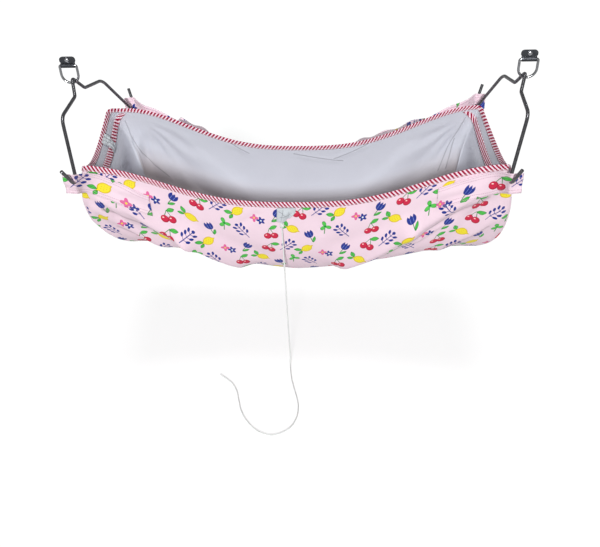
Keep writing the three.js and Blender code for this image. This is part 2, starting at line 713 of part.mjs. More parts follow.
// A corner strap: sewn along the wall, then standing off it out to the hook and a little past it
function strapGeometry(sideX, sideY) {
  const side = sideY < 0 ? 'front' : 'rear';
  const stations = [];
  for (let i = 1; i < stationsLong; i++) {
    const reach = sideX * rimStations[firstOf[side] + i].at.x;
    if (reach > strap.from && reach < strap.to) stations.push(firstOf[side] + i);
  }
  const hook = yokePoint(sideX, sideY * yoke.hookLow.out, yoke.hookLow.down);
  const outward = new THREE.Vector3(0, sideY, 0);
  const rowsHere = strapRows[side];
  const lineAt = (x, y) => rowsHere.map((row, j) => {
    const drop = (strap.endHeight[side] * j) / (rowsHere.length - 1);
    const inner = new THREE.Vector3(x, y, hook.z + strap.aboveHook[side] - drop);
    return [inner, inner.clone().addScaledVector(outward, strapThickness)];
  });
  const hookLine = lineAt(hook.x, hook.y);
  const tailLine = lineAt(hook.x + sideX * strap.tail, hook.y - sideY * strap.tailTuck);
  const lines = stations.map((station) => rowsHere.map((row, j) => {
    const inner = onSurface(station, row, layer.strap[0]);
    const outer = onSurface(station, row, layer.strap[1]);
    if (row === 0) {
      const rise = strap.aboveRim * THREE.MathUtils.smoothstep(Math.abs(inner.x), strap.from, strap.leavesWall);
      inner.z += rise;
      outer.z += rise;
    }
    const run = (Math.abs(inner.x) - strap.leavesWall) / (Math.abs(hook.x) - strap.leavesWall);
    const share = THREE.MathUtils.clamp(run, 0, 1) ** 2;
    const standOff = hookLine[j][0].clone().sub(inner).multiplyScalar(share);
    standOff.x = 0;
    return [inner.add(standOff), outer.add(standOff)];
  }));
  // Lines are in the order of the stations, so that the strap's facets lie along the wall's
  if (sideX === sideY) lines.unshift(tailLine, hookLine);
  else lines.push(hookLine, tailLine);
  const loops = lines.map((line) => [...line.map((pair) => pair[0]), ...line.map((pair) => pair[1]).reverse()]);
  const body = toSolid(loft(loops, [[0, 1, 6, 7], [1, 2, 5, 6], [2, 3, 4, 5]]));
  const hole = tube(yokePath(sideX), yoke.wire / 2 + holeGap, wireSides);
  return fromSolid(body.subtract(toSolid(hole)));
}

// Tape tab: a folded loop of tape that lies on the front wall under the binding
const tabStation = firstOf.front + Math.round((rim.left.front + tab.middleX) / spacing.front);

function tabFrame() {
  const top = onSurface(tabStation, 1, layer.outer[1]);
  const low = onSurface(tabStation, hemEndRow, layer.outer[1]);
  const down = low.clone().sub(top).normalize();
  const along = new THREE.Vector3(1, 0, 0);
  const out = down.clone().cross(along).normalize();
  if (out.y > 0) out.negate();
  const origin = top.addScaledVector(down, gap).addScaledVector(out, tab.offCloth);
  origin.x = tab.middleX;
  return { origin, down, out };
}

function tabGeometry() {
  const { origin, down, out } = tabFrame();
  const turn = tab.depth / 2;
  const profile = new THREE.Shape();
  profile.moveTo(0, 0);
  profile.lineTo(0, tab.height - turn);
  profile.absarc(turn, tab.height - turn, turn, Math.PI, 0, true);
  profile.lineTo(tab.depth, 0);
  profile.lineTo(tab.depth - tab.thickness, 0);
  profile.lineTo(tab.depth - tab.thickness, tab.height - turn);
  profile.absarc(turn, tab.height - turn, turn - tab.thickness, 0, Math.PI, false);
  profile.lineTo(tab.thickness, 0);
  const geometry = new THREE.ExtrudeGeometry(
    profile, { depth: tab.width, bevelEnabled: false, steps: 1, curveSegments: 6 });
  geometry.translate(0, 0, -tab.width / 2);
  const basis = new THREE.Matrix4().makeBasis(out, down, new THREE.Vector3().crossVectors(out, down));
  geometry.applyMatrix4(basis);
  geometry.translate(origin.x, origin.y, origin.z);
  return faceOutward(weld(geometry));
}

function knotMiddle() {
  const { origin, down, out } = tabFrame();
  const middle = origin.clone().addScaledVector(out, knot.offTab).addScaledVector(down, tab.height + gap);
  middle.z -= knot.height / 2 + gap - knot.tuck;
  middle.x = knot.x;
  return middle;
}

function knotGeometry() {
  const middle = knotMiddle();
  const geometry = new THREE.SphereGeometry(knot.across / 2, 12, 8);
  geometry.scale(1, 1, knot.height / knot.across);
  geometry.translate(middle.x, middle.y, middle.z);
  return weld(geometry);
}

function cordGeometry() {
  const start = knotMiddle();
  start.z -= knot.height / 2 + gap;
  const onGround = groundLevel + cord.diameter / 2;
  const drop = cordDrop.levels.map((level, i) => new THREE.Vector3(
    start.x + (cordDrop.drift * (i + 1)) / cordDrop.levels.length, start.y, level));
  const turn = cordDrop.turn.map(([x, y, above]) => new THREE.Vector3(x, y, onGround + above));
  const ground = cordOnGround.map(([x, y]) => new THREE.Vector3(x, y, onGround));
  const path = new THREE.CatmullRomCurve3([start, ...drop, ...turn, ...ground], false, 'centripetal');
  return tube(path, cord.diameter / 2, cord.sides, cord.steps);
}

// The pieces
for (const [name, side] of [['left', -1], ['right', 1]]) {
  const x = (side * platesApart) / 2;
  addPiece(`${name}_hanger_plate`, plateGeometry(), finish.blackPlate).position.x = x;
  addPiece(`${name}_plate_rivet`, rivetGeometry(), finish.rivetSteel).position.x = x;
  addPiece(`${name}_ring`, ringGeometry(x), finish.gunmetal);
  addPiece(`${name}_yoke`, tube(yokePath(side), yoke.wire / 2, wireSides), finish.gunmetal);
}

addPiece('outer_cloth', clothLayer(layer.outer), finish.printedCotton);
addPiece('lining', clothLayer(layer.lining), finish.lining);
for (const [name, side] of [['front_rim_binding', 'front'], ['rear_rim_binding', 'rear'],
  ['left_end_binding', 'left'], ['right_end_binding', 'right']]) {
  addPiece(name, bindingGeometry(side), finish.stripedTape);
}

for (const side of ['left', 'right']) addPiece(`${side}_hem_tape`, hemTapeGeometry(side), finish.stripedTape);

// The blank label lies on the left hem tape, in the rear half of the end
const onLabel = ({ station, row }) => station >= firstOf.left + labelCells.from
  && station < firstOf.left + labelCells.to && (row === hemRow - 1 || row === hemRow);
addPiece('blank_label', clothLayer(layer.label, onLabel), finish.whiteTape);

for (const [endName, sideX] of [['left', -1], ['right', 1]]) {
  for (const [name, sideY] of [['front', -1], ['rear', 1]]) {
    addPiece(`${name}_${endName}_corner_strap`, strapGeometry(sideX, sideY), finish.printedCotton);
  }
}

addPiece('cord_tab', tabGeometry(), finish.whiteTape);
addPiece('cord_knot', knotGeometry(), finish.whiteCord);
addPiece('pull_cord', cordGeometry(), finish.whiteCord);

export default cradle;
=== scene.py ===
import bpy
import bmesh
import math
from mathutils import Matrix, Vector, noise


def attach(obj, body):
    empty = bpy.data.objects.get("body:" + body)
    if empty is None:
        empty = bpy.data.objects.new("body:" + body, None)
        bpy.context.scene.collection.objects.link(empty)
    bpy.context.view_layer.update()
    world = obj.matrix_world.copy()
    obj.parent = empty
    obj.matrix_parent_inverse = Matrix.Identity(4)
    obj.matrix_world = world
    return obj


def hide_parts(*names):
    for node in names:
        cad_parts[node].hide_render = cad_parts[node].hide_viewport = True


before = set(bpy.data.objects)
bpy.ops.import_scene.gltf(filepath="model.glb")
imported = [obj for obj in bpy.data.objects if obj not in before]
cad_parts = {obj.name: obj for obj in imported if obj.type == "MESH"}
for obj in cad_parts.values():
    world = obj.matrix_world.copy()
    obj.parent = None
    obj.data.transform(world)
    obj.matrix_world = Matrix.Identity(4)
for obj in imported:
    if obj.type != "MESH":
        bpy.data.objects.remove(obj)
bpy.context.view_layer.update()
print("frame loaded")


# Small helpers for numbers and meshes

def mix(a, b, share):
    return a + (b - a) * share


def smooth(value, low, high):
    share = min(1, max(0, (value - low) / (high - low)))
    return share * share * (3 - 2 * share)


def runLengths(points):
    # the length along a line up to each of its points
    lengths = [0]
    for a, b in zip(points, points[1:]):
        lengths.append(lengths[-1] + (b - a).length)
    return lengths


def spanAt(values, want):
    # the place of the span in a rising list that holds this value, and the value's share of that span
    i = 0
    while i < len(values) - 2 and values[i + 1] < want:
        i += 1
    return i, (want - values[i]) / (values[i + 1] - values[i])


def addObject(name, data):
    made = bpy.data.objects.new(name, data)
    bpy.context.scene.collection.objects.link(made)
    return made


softEdge = {"segments": 3, "fromAngle": math.radians(40)}


def finishPiece(bm, node, ending, body, material, thickness=0, bevel=0, turnOut=True):
    # a piece of its own that takes the place of one node, thickened on both sides where it is a sheet
    if turnOut:
        bmesh.ops.recalc_face_normals(bm, faces=bm.faces)
    name = f"{node}_{ending}"
    mesh = bpy.data.meshes.new(name)
    bm.to_mesh(mesh)
    bm.free()
    mesh.materials.append(material)
    mesh.shade_smooth()
    piece = addObject(name, mesh)
    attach(piece, body)
    if thickness:
        solid = piece.modifiers.new("thickness", "SOLIDIFY")
        solid.thickness = thickness
        solid.offset = 0
    if bevel:
        edge = piece.modifiers.new("edges", "BEVEL")
        edge.width = bevel
        edge.segments = softEdge["segments"]
        edge.limit_method = "ANGLE"
        edge.angle_limit = softEdge["fromAngle"]
    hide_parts(node)
    return piece


def bentStations(corners, closed, step=math.radians(5)):
    # points and directions of a wire through corner points, each turned by its own bend radius
    count = len(corners)
    stations = []
    for i, (at, bend) in enumerate(corners):
        before, after = corners[i - 1][0], corners[(i + 1) % count][0]
        if not bend:
            ahead = after - at if i == 0 else at - before
            stations.append((at, ahead.normalized()))
            continue
        back, ahead = (before - at).normalized(), (after - at).normalized()
        half = back.angle(ahead) / 2
        start = at + back * bend / math.tan(half)
        end = at + ahead * bend / math.tan(half)
        centre = at + (back + ahead).normalized() * bend / math.sin(half)
        axis = (start - centre).cross(end - centre).normalized()
        total = math.pi - 2 * half
        steps = max(3, math.ceil(total / step))
        for k in range(steps + 1):
            spoke = Matrix.Rotation(total * k / steps, 3, axis) @ (start - centre)
            stations.append((centre + spoke, axis.cross(spoke).normalized()))
    if closed:
        stations.append(stations[0])
    return stations


def sweepWire(stations, radius, sides, flatNormal, closed, tipBevel=0):
    # a circle that is extruded from station to station
    places = []
    for at, ahead in stations:
        side = ahead.cross(flatNormal).normalized()
        turn = Matrix((side, ahead.cross(side), ahead)).transposed().to_4x4()
        places.append(Matrix.Translation(at) @ turn)
    bm = bmesh.new()
    bmesh.ops.create_circle(bm, cap_ends=False, segments=sides, radius=radius, matrix=places[0])
    edges = list(bm.edges)
    for before, after in zip(places, places[1:]):
        made = bmesh.ops.extrude_edge_only(bm, edges=edges)["geom"]
        verts = [e for e in made if isinstance(e, bmesh.types.BMVert)]
        edges = [e for e in made if isinstance(e, bmesh.types.BMEdge) and e.is_boundary]
        bmesh.ops.transform(bm, matrix=after @ before.inverted(), verts=verts)
    if closed:
        bmesh.ops.remove_doubles(bm, verts=bm.verts, dist=1e-6)
        return bm
    caps = bmesh.ops.holes_fill(bm, edges=[e for e in bm.edges if e.is_boundary], sides=0)["faces"]
    rims = list({e for f in caps for e in f.edges})
    bmesh.ops.bevel(bm, geom=rims, offset=tipBevel, segments=4, profile=0.5, affect="EDGES", material=-1)
    return bm


def mappedGrid(along, across, place):
    # a grid whose points and map, in metres, come from their places along and across it
    bm = bmesh.new()
    bmesh.ops.create_grid(bm, x_segments=along, y_segments=across, size=0.5)
    layer = bm.loops.layers.uv.new("cloth")
    maps = {}
    for vert in bm.verts:
        i = round((vert.co.x + 0.5) * along)
        j = round((vert.co.y + 0.5) * across)
        vert.co, maps[vert] = place(i, j)
    for face in bm.faces:
        for loop in face.loops:
            loop[layer].uv = maps[loop.vert]
    return bm


# Shader maths

def mathNode(operation):
    def run(self, *others):
        return self.math(operation, *others)
    return run


class Tone:
    # one socket of a node tree: sums on it add Math nodes
    def __init__(self, tree, socket=None):
        self.tree = tree
        self.socket = socket

    def node(self, kind, settings=None, inputs=None, out=0):
        made = self.tree.nodes.new(kind)
        for key, value in (settings or {}).items():
            setattr(made, key, value)
        for key, value in (inputs or {}).items():
            if isinstance(value, Tone):
                self.tree.links.new(value.socket, made.inputs[key])
            else:
                made.inputs[key].default_value = value
        return Tone(self.tree, made.outputs[out])

    def math(self, operation, *others, clamp=False):
        settings = {"operation": operation, "use_clamp": clamp}
        return self.node("ShaderNodeMath", settings, dict(enumerate((self,) + others)))

    __add__ = __radd__ = mathNode("ADD")
    __sub__ = mathNode("SUBTRACT")
    __mul__ = __rmul__ = mathNode("MULTIPLY")
    __truediv__ = mathNode("DIVIDE")
    __abs__ = mathNode("ABSOLUTE")
    least = mathNode("MINIMUM")
    most = mathNode("MAXIMUM")

    def __rsub__(self, other):
        return self.node("ShaderNodeMath", {"operation": "SUBTRACT"}, {0: other, 1: self})

    def wrap(self, period):
        # repeats a length, centred on zero
        return self.math("WRAP", period / 2, -period / 2)

    def inside(self, edge):
        # 1 where this distance is below zero, with a soft edge
        return self.math("MULTIPLY_ADD", -1 / edge, 0.5, clamp=True)

    def blend(self, a, b):
        return self.node("ShaderNodeMix", {"data_type": "RGBA"}, {0: self, 6: a, 7: b}, out=2)


def colour(red, green, blue):
    def linear(value):
        value = min(255, value) / 255
        return value / 12.92 if value <= 0.04045 else ((value + 0.055) / 1.055) ** 2.4
    return (linear(red), linear(green), linear(blue), 1)


def newMaterial(name, plain):
    material = bpy.data.materials.new(name)
    material.use_nodes = True
    shader = material.node_tree.nodes["Principled BSDF"]
    for key, value in plain.items():
        shader.inputs[key].default_value = value
    return material, shader, Tone(material.node_tree)


def feed(shader, links):
    for key, tone in links.items():
        tone.tree.links.new(tone.socket, shader.inputs[key])


def clothMap(start):
    # the piece's own map: metres along and across the cloth
    uv = start.node("ShaderNodeUVMap", {"uv_map": "cloth"})
    u = uv.node("ShaderNodeSeparateXYZ", {}, {0: uv}, out="X")
    v = uv.node("ShaderNodeSeparateXYZ", {}, {0: uv}, out="Y")
    return uv, u, v


def cameraRay(start):
    # 1 for what the camera sees itself, 0 for light that is thrown on
    return start.node("ShaderNodeLightPath", out="Is Camera Ray")


def bumped(height, strength, distance):
    return height.node("ShaderNodeBump", {}, {"Strength": strength, "Distance": distance, "Height": height})


def spots(vector, scale, detail=2.0):
    return vector.node("ShaderNodeTexNoise", {}, {"Vector": vector, "Scale": scale, "Detail": detail})


def ribs(u, width):
    # rounded ridges of this width, side by side
    return abs((u * (math.pi / width)).math("SINE"))


def weave(u, v, thread):
    # two sets of threads that pass over each other
    return ribs(u, thread) * 0.5 + ribs(v, thread) * 0.5


# Camera, light and ground

view = {"pitch": 0.58368, "roll": 0.03759, "yaw": 0.08351, "eye": (0.12469, -1.51023, 0.4114), "lens": 39.0,
        "sensor": 36}


def addCamera():
    pitch, roll, yaw = view["pitch"], view["roll"], view["yaw"]
    level = Vector((math.cos(yaw), math.sin(yaw), 0))
    ahead = Vector((-math.sin(yaw) * math.cos(pitch), math.cos(yaw) * math.cos(pitch), -math.sin(pitch)))
    upright = level.cross(ahead)
    right = level * math.cos(roll) - upright * math.sin(roll)
    up = level * math.sin(roll) + upright * math.cos(roll)
    data = bpy.data.cameras.new("camera")
    data.lens = view["lens"]
    data.sensor_width = view["sensor"]
    data.sensor_fit = "HORIZONTAL"
    camera = addObject("camera", data)
    turn = Matrix((right, up, -ahead)).transposed().to_4x4()
    camera.matrix_world = Matrix.Translation(view["eye"]) @ turn
    bpy.context.scene.camera = camera


light = {
    "world": 0.25,
    "suns": [
        {"name": "frontSun", "strength": 2.50, "angle": 8, "aim": (0.0, 1.0, -0.45)},
        {"name": "topSun", "strength": 0.66, "angle": 17, "aim": (0.0, 0.0, -1.0)},
    ],
    "groundLevel": -0.7665, "groundSize": 60, "groundGlow": 0.62, "groundColour": (195, 196, 196),
}


def addLight():
    # the camera sees a white world, but the cradle is lit by a dimmer one and two suns
    world = bpy.data.worlds.new("studio")
    bpy.context.scene.world = world
    world.use_nodes = True
    tree = world.node_tree
    background = tree.nodes["Background"]
    strength = cameraRay(Tone(tree)) * (1 - light["world"]) + light["world"]
    background.inputs["Color"].default_value = (1, 1, 1, 1)
    tree.links.new(strength.socket, background.inputs["Strength"])
    for sun in light["suns"]:
        data = bpy.data.lights.new(sun["name"], "SUN")
        data.energy = sun["strength"]
        data.angle = math.radians(sun["angle"])
        lamp = addObject(sun["name"], data)
        lamp.rotation_euler = Vector(sun["aim"]).to_track_quat("-Z", "Y").to_euler()


def addGround():
    bm = bmesh.new()
    bmesh.ops.create_grid(bm, x_segments=1, y_segments=1, size=light["groundSize"] / 2)
    bmesh.ops.translate(bm, vec=(0, 0, light["groundLevel"]), verts=bm.verts)
    mesh = bpy.data.meshes.new("ground")
    bm.to_mesh(mesh)
    bm.free()
    addObject("ground", mesh)
    material, shader, start = newMaterial("paleGround", {
        "Roughness": 1.0, "Specular IOR Level": 0, "Base Color": colour(*light["groundColour"]),
        "Emission Color": (1, 1, 1, 1)})
    feed(shader, {"Emission Strength": cameraRay(start) * light["groundGlow"]})
    mesh.materials.append(material)


addCamera()
addLight()
addGround()
bpy.context.scene.view_settings.view_transform = "Standard"
print("camera, light and ground made")


# Metal: rings, yokes, hanger plates and rivets

# Each bend of a yoke has a place outward, a place down and a radius
wire = {
    "platesApart": 1.064, "ringWire": 0.006, "yokeWire": 0.008, "pivotGap": 0.0009,
    "ringWidth": 0.047, "ringHeight": 0.047, "ringCorner": 0.004, "barLevel": -0.007,
    "lean": math.radians(19.5), "leftTurn": math.radians(0.6),
    "neck": (0.033, 0.033, 0.017), "shoulder": (0.138, 0.047, 0.045), "hook": (0.234, 0.182, 0.013),
    "tip": (0.2574, 0.128, 0), "rearTip": (0.264, 0.113, 0), "hookLow": (0.237, 0.1715),
    "sides": 24, "tipBevel": 0.0012,
}
ringHalf = (wire["ringWidth"] - wire["ringWire"]) / 2
ringArcLevel = wire["barLevel"] - (wire["ringHeight"] - wire["ringWire"] - ringHalf)
turnRadius = (wire["ringWire"] + wire["yokeWire"]) / 2 + wire["pivotGap"]


steel = {"cloudScale": 160, "fineScale": 900, "contrast": 1.6, "deep": 0.86, "pale": 1.12, "cloudRough": 0.12,
         "fineRough": 0.10, "scratchDepth": 0.0002}


def darkSteel(name, base, roughness, scratch):
    material, shader, start = newMaterial(name, {"Metallic": 1.0})
    place = start.node("ShaderNodeTexCoord", out="Object")
    cloud = spots(place, steel["cloudScale"], 4.0)
    fine = spots(place, steel["fineScale"], 3.0)
    tint = cloud.math("MULTIPLY_ADD", steel["contrast"], (1 - steel["contrast"]) / 2, clamp=True)
    deep, pale = [colour(*[c * steel[shade] for c in base]) for shade in ("deep", "pale")]
    level = roughness - (steel["cloudRough"] + steel["fineRough"]) / 2
    feed(shader, {
        "Base Color": tint.blend(deep, pale),
        "Roughness": cloud * steel["cloudRough"] + fine * steel["fineRough"] + level,
        "Normal": bumped(fine, scratch, steel["scratchDepth"]),
    })
    return material


ringSteel = darkSteel("ringSteel", (186, 187, 190), 0.20, 0.25)
yokeSteel = darkSteel("yokeSteel", (128, 128, 132), 0.25, 0.35)
plateSteel = darkSteel("plateSteel", (92, 94, 99), 0.30, 0.35)
rivetSteel = darkSteel("rivetSteel", (205, 206, 210), 0.24, 0.25)


def yokePoint(side, out, down):
    lean = wire["lean"]
    drop = down - turnRadius
    fromSeat = Vector((-side * drop * math.sin(lean), out, -drop * math.cos(lean)))
    if side < 0:
        fromSeat = Matrix.Rotation(-wire["leftTurn"], 3, "Z") @ fromSeat
    seatX = side * (wire["platesApart"] / 2 - ringHalf * math.sin(lean))
    return Vector((seatX, 0, ringArcLevel - ringHalf * math.cos(lean))) + fromSeat


def makeRing(name, x):
    low = ringArcLevel - ringHalf
    top, bend = wire["barLevel"], wire["ringCorner"]
    corners = [(Vector((x + dx, 0, z)), turn) for dx, z, turn in (
        (-ringHalf, top, bend), (ringHalf, top, bend), (ringHalf, low, ringHalf), (-ringHalf, low, ringHalf))]
    bm = sweepWire(bentStations(corners, True), wire["ringWire"] / 2, wire["sides"], Vector((0, 1, 0)), True)
    finishPiece(bm, name, "wire", name, ringSteel)


def makeYoke(name, side):
    # from the front hook's tip over the bend in the ring to the rear hook's tip
    shape = [wire[k] for k in ("hook", "shoulder", "neck")]
    frontHalf = [(yokePoint(side, -out, down), bend) for out, down, bend in [wire["tip"]] + shape]
    rearHalf = [(yokePoint(side, out, down), bend) for out, down, bend in reversed([wire["rearTip"]] + shape)]
    top = [(yokePoint(side, 0, turnRadius - math.sqrt(2) * turnRadius), turnRadius)]
    stations = bentStations(frontHalf + top + rearHalf, False)
    plane = (frontHalf[0][0] - top[0][0]).cross(rearHalf[-1][0] - top[0][0]).normalized()
    bm = sweepWire(stations, wire["yokeWire"] / 2, wire["sides"], plane, False, wire["tipBevel"])
    finishPiece(bm, name, "wire", "cradle", yokeSteel)


plate = {
    "width": 0.037, "height": 0.025, "thickness": 0.0022, "slit": 0.0006, "cornerRadius": 0.007,
    "shoulder": 0.004, "foldHalf": 0.01635, "edgeBevel": 0.0005, "rowStep": 0.0006, "clearance": 0.0003,
    "foldSteps": 28, "wide": 14,
}


def plateHalfWidth(z):
    # the strip is narrow round the ring's bar, and its top corners are round
    half, r = plate["width"] / 2, plate["cornerRadius"]
    shoulderLow = wire["barLevel"] + wire["ringWire"] / 2 + plate["thickness"]
    width = mix(plate["foldHalf"], half, smooth(z, shoulderLow, shoulderLow + plate["shoulder"]))
    over = z - (plate["height"] / 2 - r)
    return half - r + math.sqrt(max(0, r * r - over * over)) if over > 0 else width


def makePlate(name, x):
    # one strip that goes down behind the bar, round it and up in front
    bore = wire["ringWire"] / 2 + plate["clearance"]
    middle = bore + plate["thickness"] / 2
    frontY = bore - plate["slit"] - plate["thickness"] / 2
    top, bar = plate["height"] / 2, wire["barLevel"]
    steps = round((top - bar) / plate["rowStep"])
    foldEnd = 2 * math.pi - math.acos(frontY / middle)
    line = [(middle, mix(top, bar, i / steps)) for i in range(steps + 1)]
    for i in range(1, plate["foldSteps"] + 1):
        angle = foldEnd * i / plate["foldSteps"]
        line.append((middle * math.cos(angle), bar - middle * math.sin(angle)))
    line += [(frontY, mix(line[-1][1], top, i / steps)) for i in range(1, steps + 1)]

    def place(i, j):
        y, z = line[i]
        return Vector((x + (j / (plate["wide"] / 2) - 1) * plateHalfWidth(z), y, z)), (i, j)

    bm = mappedGrid(len(line) - 1, plate["wide"], place)
    finishPiece(bm, name, "folded", "hangers", plateSteel, plate["thickness"],
                plate["edgeBevel"])


rivet = {
    "z": 0.005, "headRadius": 0.0055, "headHeight": 0.0028, "lip": 0.0004, "faceY": -0.0001, "domeSteps": 12,
    "backRadius": 0.0036, "backY": 0.0054, "backHeight": 0.0004, "backBevel": 0.0006, "shankRadius": 0.0022,
    "around": 40, "sharp": math.radians(50),
}


def makeRivet(name, x):
    # half a section, spun round the rivet's own axis
    lip, back = rivet["faceY"] + rivet["lip"], rivet["backY"] - rivet["backHeight"]
    section = [(0, rivet["faceY"] - rivet["headHeight"])]
    for i in range(1, rivet["domeSteps"] + 1):
        angle = math.pi / 2 * i / rivet["domeSteps"]
        high = rivet["faceY"] - rivet["headHeight"] * math.cos(angle)
        section.append((rivet["headRadius"] * math.sin(angle), high))
    section += [(rivet["headRadius"], lip), (rivet["shankRadius"], lip), (rivet["shankRadius"], back)]
    section += [(rivet["backRadius"], back), (rivet["backRadius"] - rivet["backBevel"], rivet["backY"])]
    section.append((0, rivet["backY"]))
    bm = bmesh.new()
    verts = [bm.verts.new((x + out, y, rivet["z"])) for out, y in section]
    edges = [bm.edges.new(pair) for pair in zip(verts, verts[1:])]
    bmesh.ops.spin(bm, geom=verts + edges, cent=(x, 0, rivet["z"]), axis=(0, 1, 0), dvec=(0, 0, 0),
                   angle=2 * math.pi, steps=rivet["around"], use_merge=True, use_duplicate=False)
    bmesh.ops.remove_doubles(bm, verts=bm.verts, dist=1e-6)
    piece = finishPiece(bm, name, "dome", "hangers", rivetSteel)
    piece.data.set_sharp_from_angle(angle=rivet["sharp"])


for sideName, side in (("left", -1), ("right", 1)):
    plateX = side * wire["platesApart"] / 2
    makePlate(sideName + "_hanger_plate", plateX)
    makeRivet(sideName + "_plate_rivet", plateX)
    makeRing(sideName + "_ring", plateX)
    makeYoke(sideName + "_yoke", side)
print("metal pieces made")


# The tub's shape: rim, floor line and walls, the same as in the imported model

# A wall's power says how boxy it turns into the floor: a triple has the one seen from the end, then those
# seen from the front, near the rim and near the floor
tub = {
    "middleHalfWidth": 0.167, "endHalfWidth": 0.190,
    "middleLevel": -0.2825, "cornerLevel": -0.1795, "endSag": 0.057,
    "sagLength": 0.470, "sagPower": 1.4,
    "left": (0.469, 0.517, 0.530), "right": (0.476, 0.500, 0.478),
    "floorMiddle": -0.538, "floorLeft": -0.451, "floorRight": -0.470,
    "floorHalf": 0.375, "floorPower": 1.45,
    "middlePower": 2.35, "endPower": (2.6, 0.85, 2.2), "rearPower": (2.9, 1.0, 1.4),
    "leftFrontPower": (2.5, 2.6, 2.6), "rightFrontPower": (2.1, 2.0, 5.0), "turnFrom": 0.2, "turnTo": 0.9,
    "cornerBulge": 0.030, "frontUpright": (20, 0.12, 0.7), "rearUpright": (6, 0.1, 0.45), "shiftPower": 6,
    "cornerRound": 0.015, "columnStep": 0.0065, "endLength": 0.42, "fine": 140, "plainFrom": 0.90,
}
front, right, rear, left = range(4)  # the sides, in order round the rim


def rimPoint(side, share):
    if side in (right, left):
        near, middle, far = tub["right"] if side == right else tub["left"]
        share = share if side == right else 1 - share
        bulge = math.sin(math.pi * share)
        x = mix(near, far, share) + (middle - (near + far) / 2) * bulge
        y = mix(-tub["endHalfWidth"], tub["endHalfWidth"], share)
        return Vector((x if side == right else -x, y, tub["cornerLevel"] - tub["endSag"] * bulge))
    reach = (-tub["left"][0], tub["right"][0]) if side == front else (tub["right"][2], -tub["left"][2])
    x = mix(*reach, share)
    along = min(1, abs(x) / tub["sagLength"])
    width = mix(tub["middleHalfWidth"], tub["endHalfWidth"], along * along)
    rise = (1 - math.cos(math.pi * along ** tub["sagPower"])) / 2
    return Vector((x, -width if side == front else width, mix(tub["middleLevel"], tub["cornerLevel"], rise)))


def floorPoint(x):
    along = min(tub["floorHalf"], max(-tub["floorHalf"], x))
    end = tub["floorLeft"] if x < 0 else tub["floorRight"]
    rise = (abs(along) / tub["floorHalf"]) ** tub["floorPower"]
    return Vector((along, 0, mix(tub["floorMiddle"], end, rise)))


def wallLine(side, start, raw, footShift):
    # from the rim down to the floor line
    foot = floorPoint(start.x)
    isLeft, isFront = start.x < 0, start.y < 0
    reach = tub["left" if isLeft else "right"][0 if isFront else 2]
    endShare = min(1, max(0, abs(start.x) - tub["floorHalf"]) / (reach - tub["floorHalf"]))
    acrossShare = abs(start.y) / tub["endHalfWidth"]
    nearCorner, nearEnd = 1, min(1, abs(start.x) / tub["sagLength"]) ** 2
    if side in (right, left):
        nearCorner = 1 - math.sin(math.pi * (1 + abs(raw.y) / tub["endHalfWidth"]) / 2)
        nearEnd = 1
    corner = tub["rearPower" if not isFront else "leftFrontPower" if isLeft else "rightFrontPower"]
    endPower, alongTop, alongFoot = [mix(a, b, nearCorner) for a, b in zip(tub["endPower"], corner)]
    across = mix(tub["middlePower"], endPower, nearEnd)
    swell = math.copysign(tub["cornerBulge"] * nearCorner * endShare, start.x) if isFront else 0
    n, roundFrom, roundTo = tub["frontUpright" if isFront else "rearUpright"]
    rounded = (endShare ** n + acrossShare ** n) ** (-1 / n) * max(endShare, acrossShare)
    points = []
    for i in range(tub["fine"] + 1):
        angle = math.pi / 2 * i / tub["fine"]
        down = math.sin(angle) ** (2 / across)
        rounding = mix(1, rounded, smooth(down, roundFrom, roundTo))
        acrossOut = rounding * max(0, math.cos(angle)) ** (2 / across)
        along = mix(alongTop, alongFoot, smooth(down, tub["turnFrom"], tub["turnTo"]))
        alongOut = rounding * max(0, 1 - down ** along) ** (1 / along)
        p = Vector((mix(foot.x, start.x, alongOut), mix(0, start.y, acrossOut), mix(start.z, foot.z, down)))
        p.x += swell * math.sin(math.pi * down) * alongOut
        points.append(p + footShift * down ** tub["shiftPower"])
    return points


sideLength = {front: 0.945, right: tub["endLength"], rear: 1.008, left: tub["endLength"]}
cornerPlaces = [0, 0.0025, 0.005, 0.0075, 0.010, 0.0125, 0.015, 0.020, 0.026]


def sidePlaces(side):
    # distances of the columns from the side's first corner, close together near both corners
    length, edge = sideLength[side], cornerPlaces[-1]
    count = round(((sideLength[front] if side == rear else length) - 2 * edge) / tub["columnStep"])
    middle = [edge + (length - 2 * edge) * i / count for i in range(1, count)]
    return cornerPlaces + middle + [length - d for d in reversed(cornerPlaces)]


def roundedRim(side, distance):
    # the rim's sharp corners are turned over a short length
    length, r = sideLength[side], tub["cornerRound"]
    if distance < r:
        before = (side - 1) % 4
        ends = rimPoint(before, 1 - r / sideLength[before]), rimPoint(side, 0), rimPoint(side, r / length)
        t = (r + distance) / (2 * r)
    elif length - distance < r:
        after = (side + 1) % 4
        ends = rimPoint(side, 1 - r / length), rimPoint(side, 1), rimPoint(after, r / sideLength[after])
        t = (r - length + distance) / (2 * r)
    else:
        return rimPoint(side, distance / length)
    return ends[0] * (1 - t) ** 2 + ends[1] * 2 * t * (1 - t) + ends[2] * t * t


rowDepths = [0, 0.002, 0.004, 0.006, 0.008, 0.010, 0.012, 0.016, 0.020, 0.024, 0.028, 0.0325, 0.037, 0.0415,
             0.046, 0.050, 0.054, 0.058, 0.062]
rowsBelow = 52

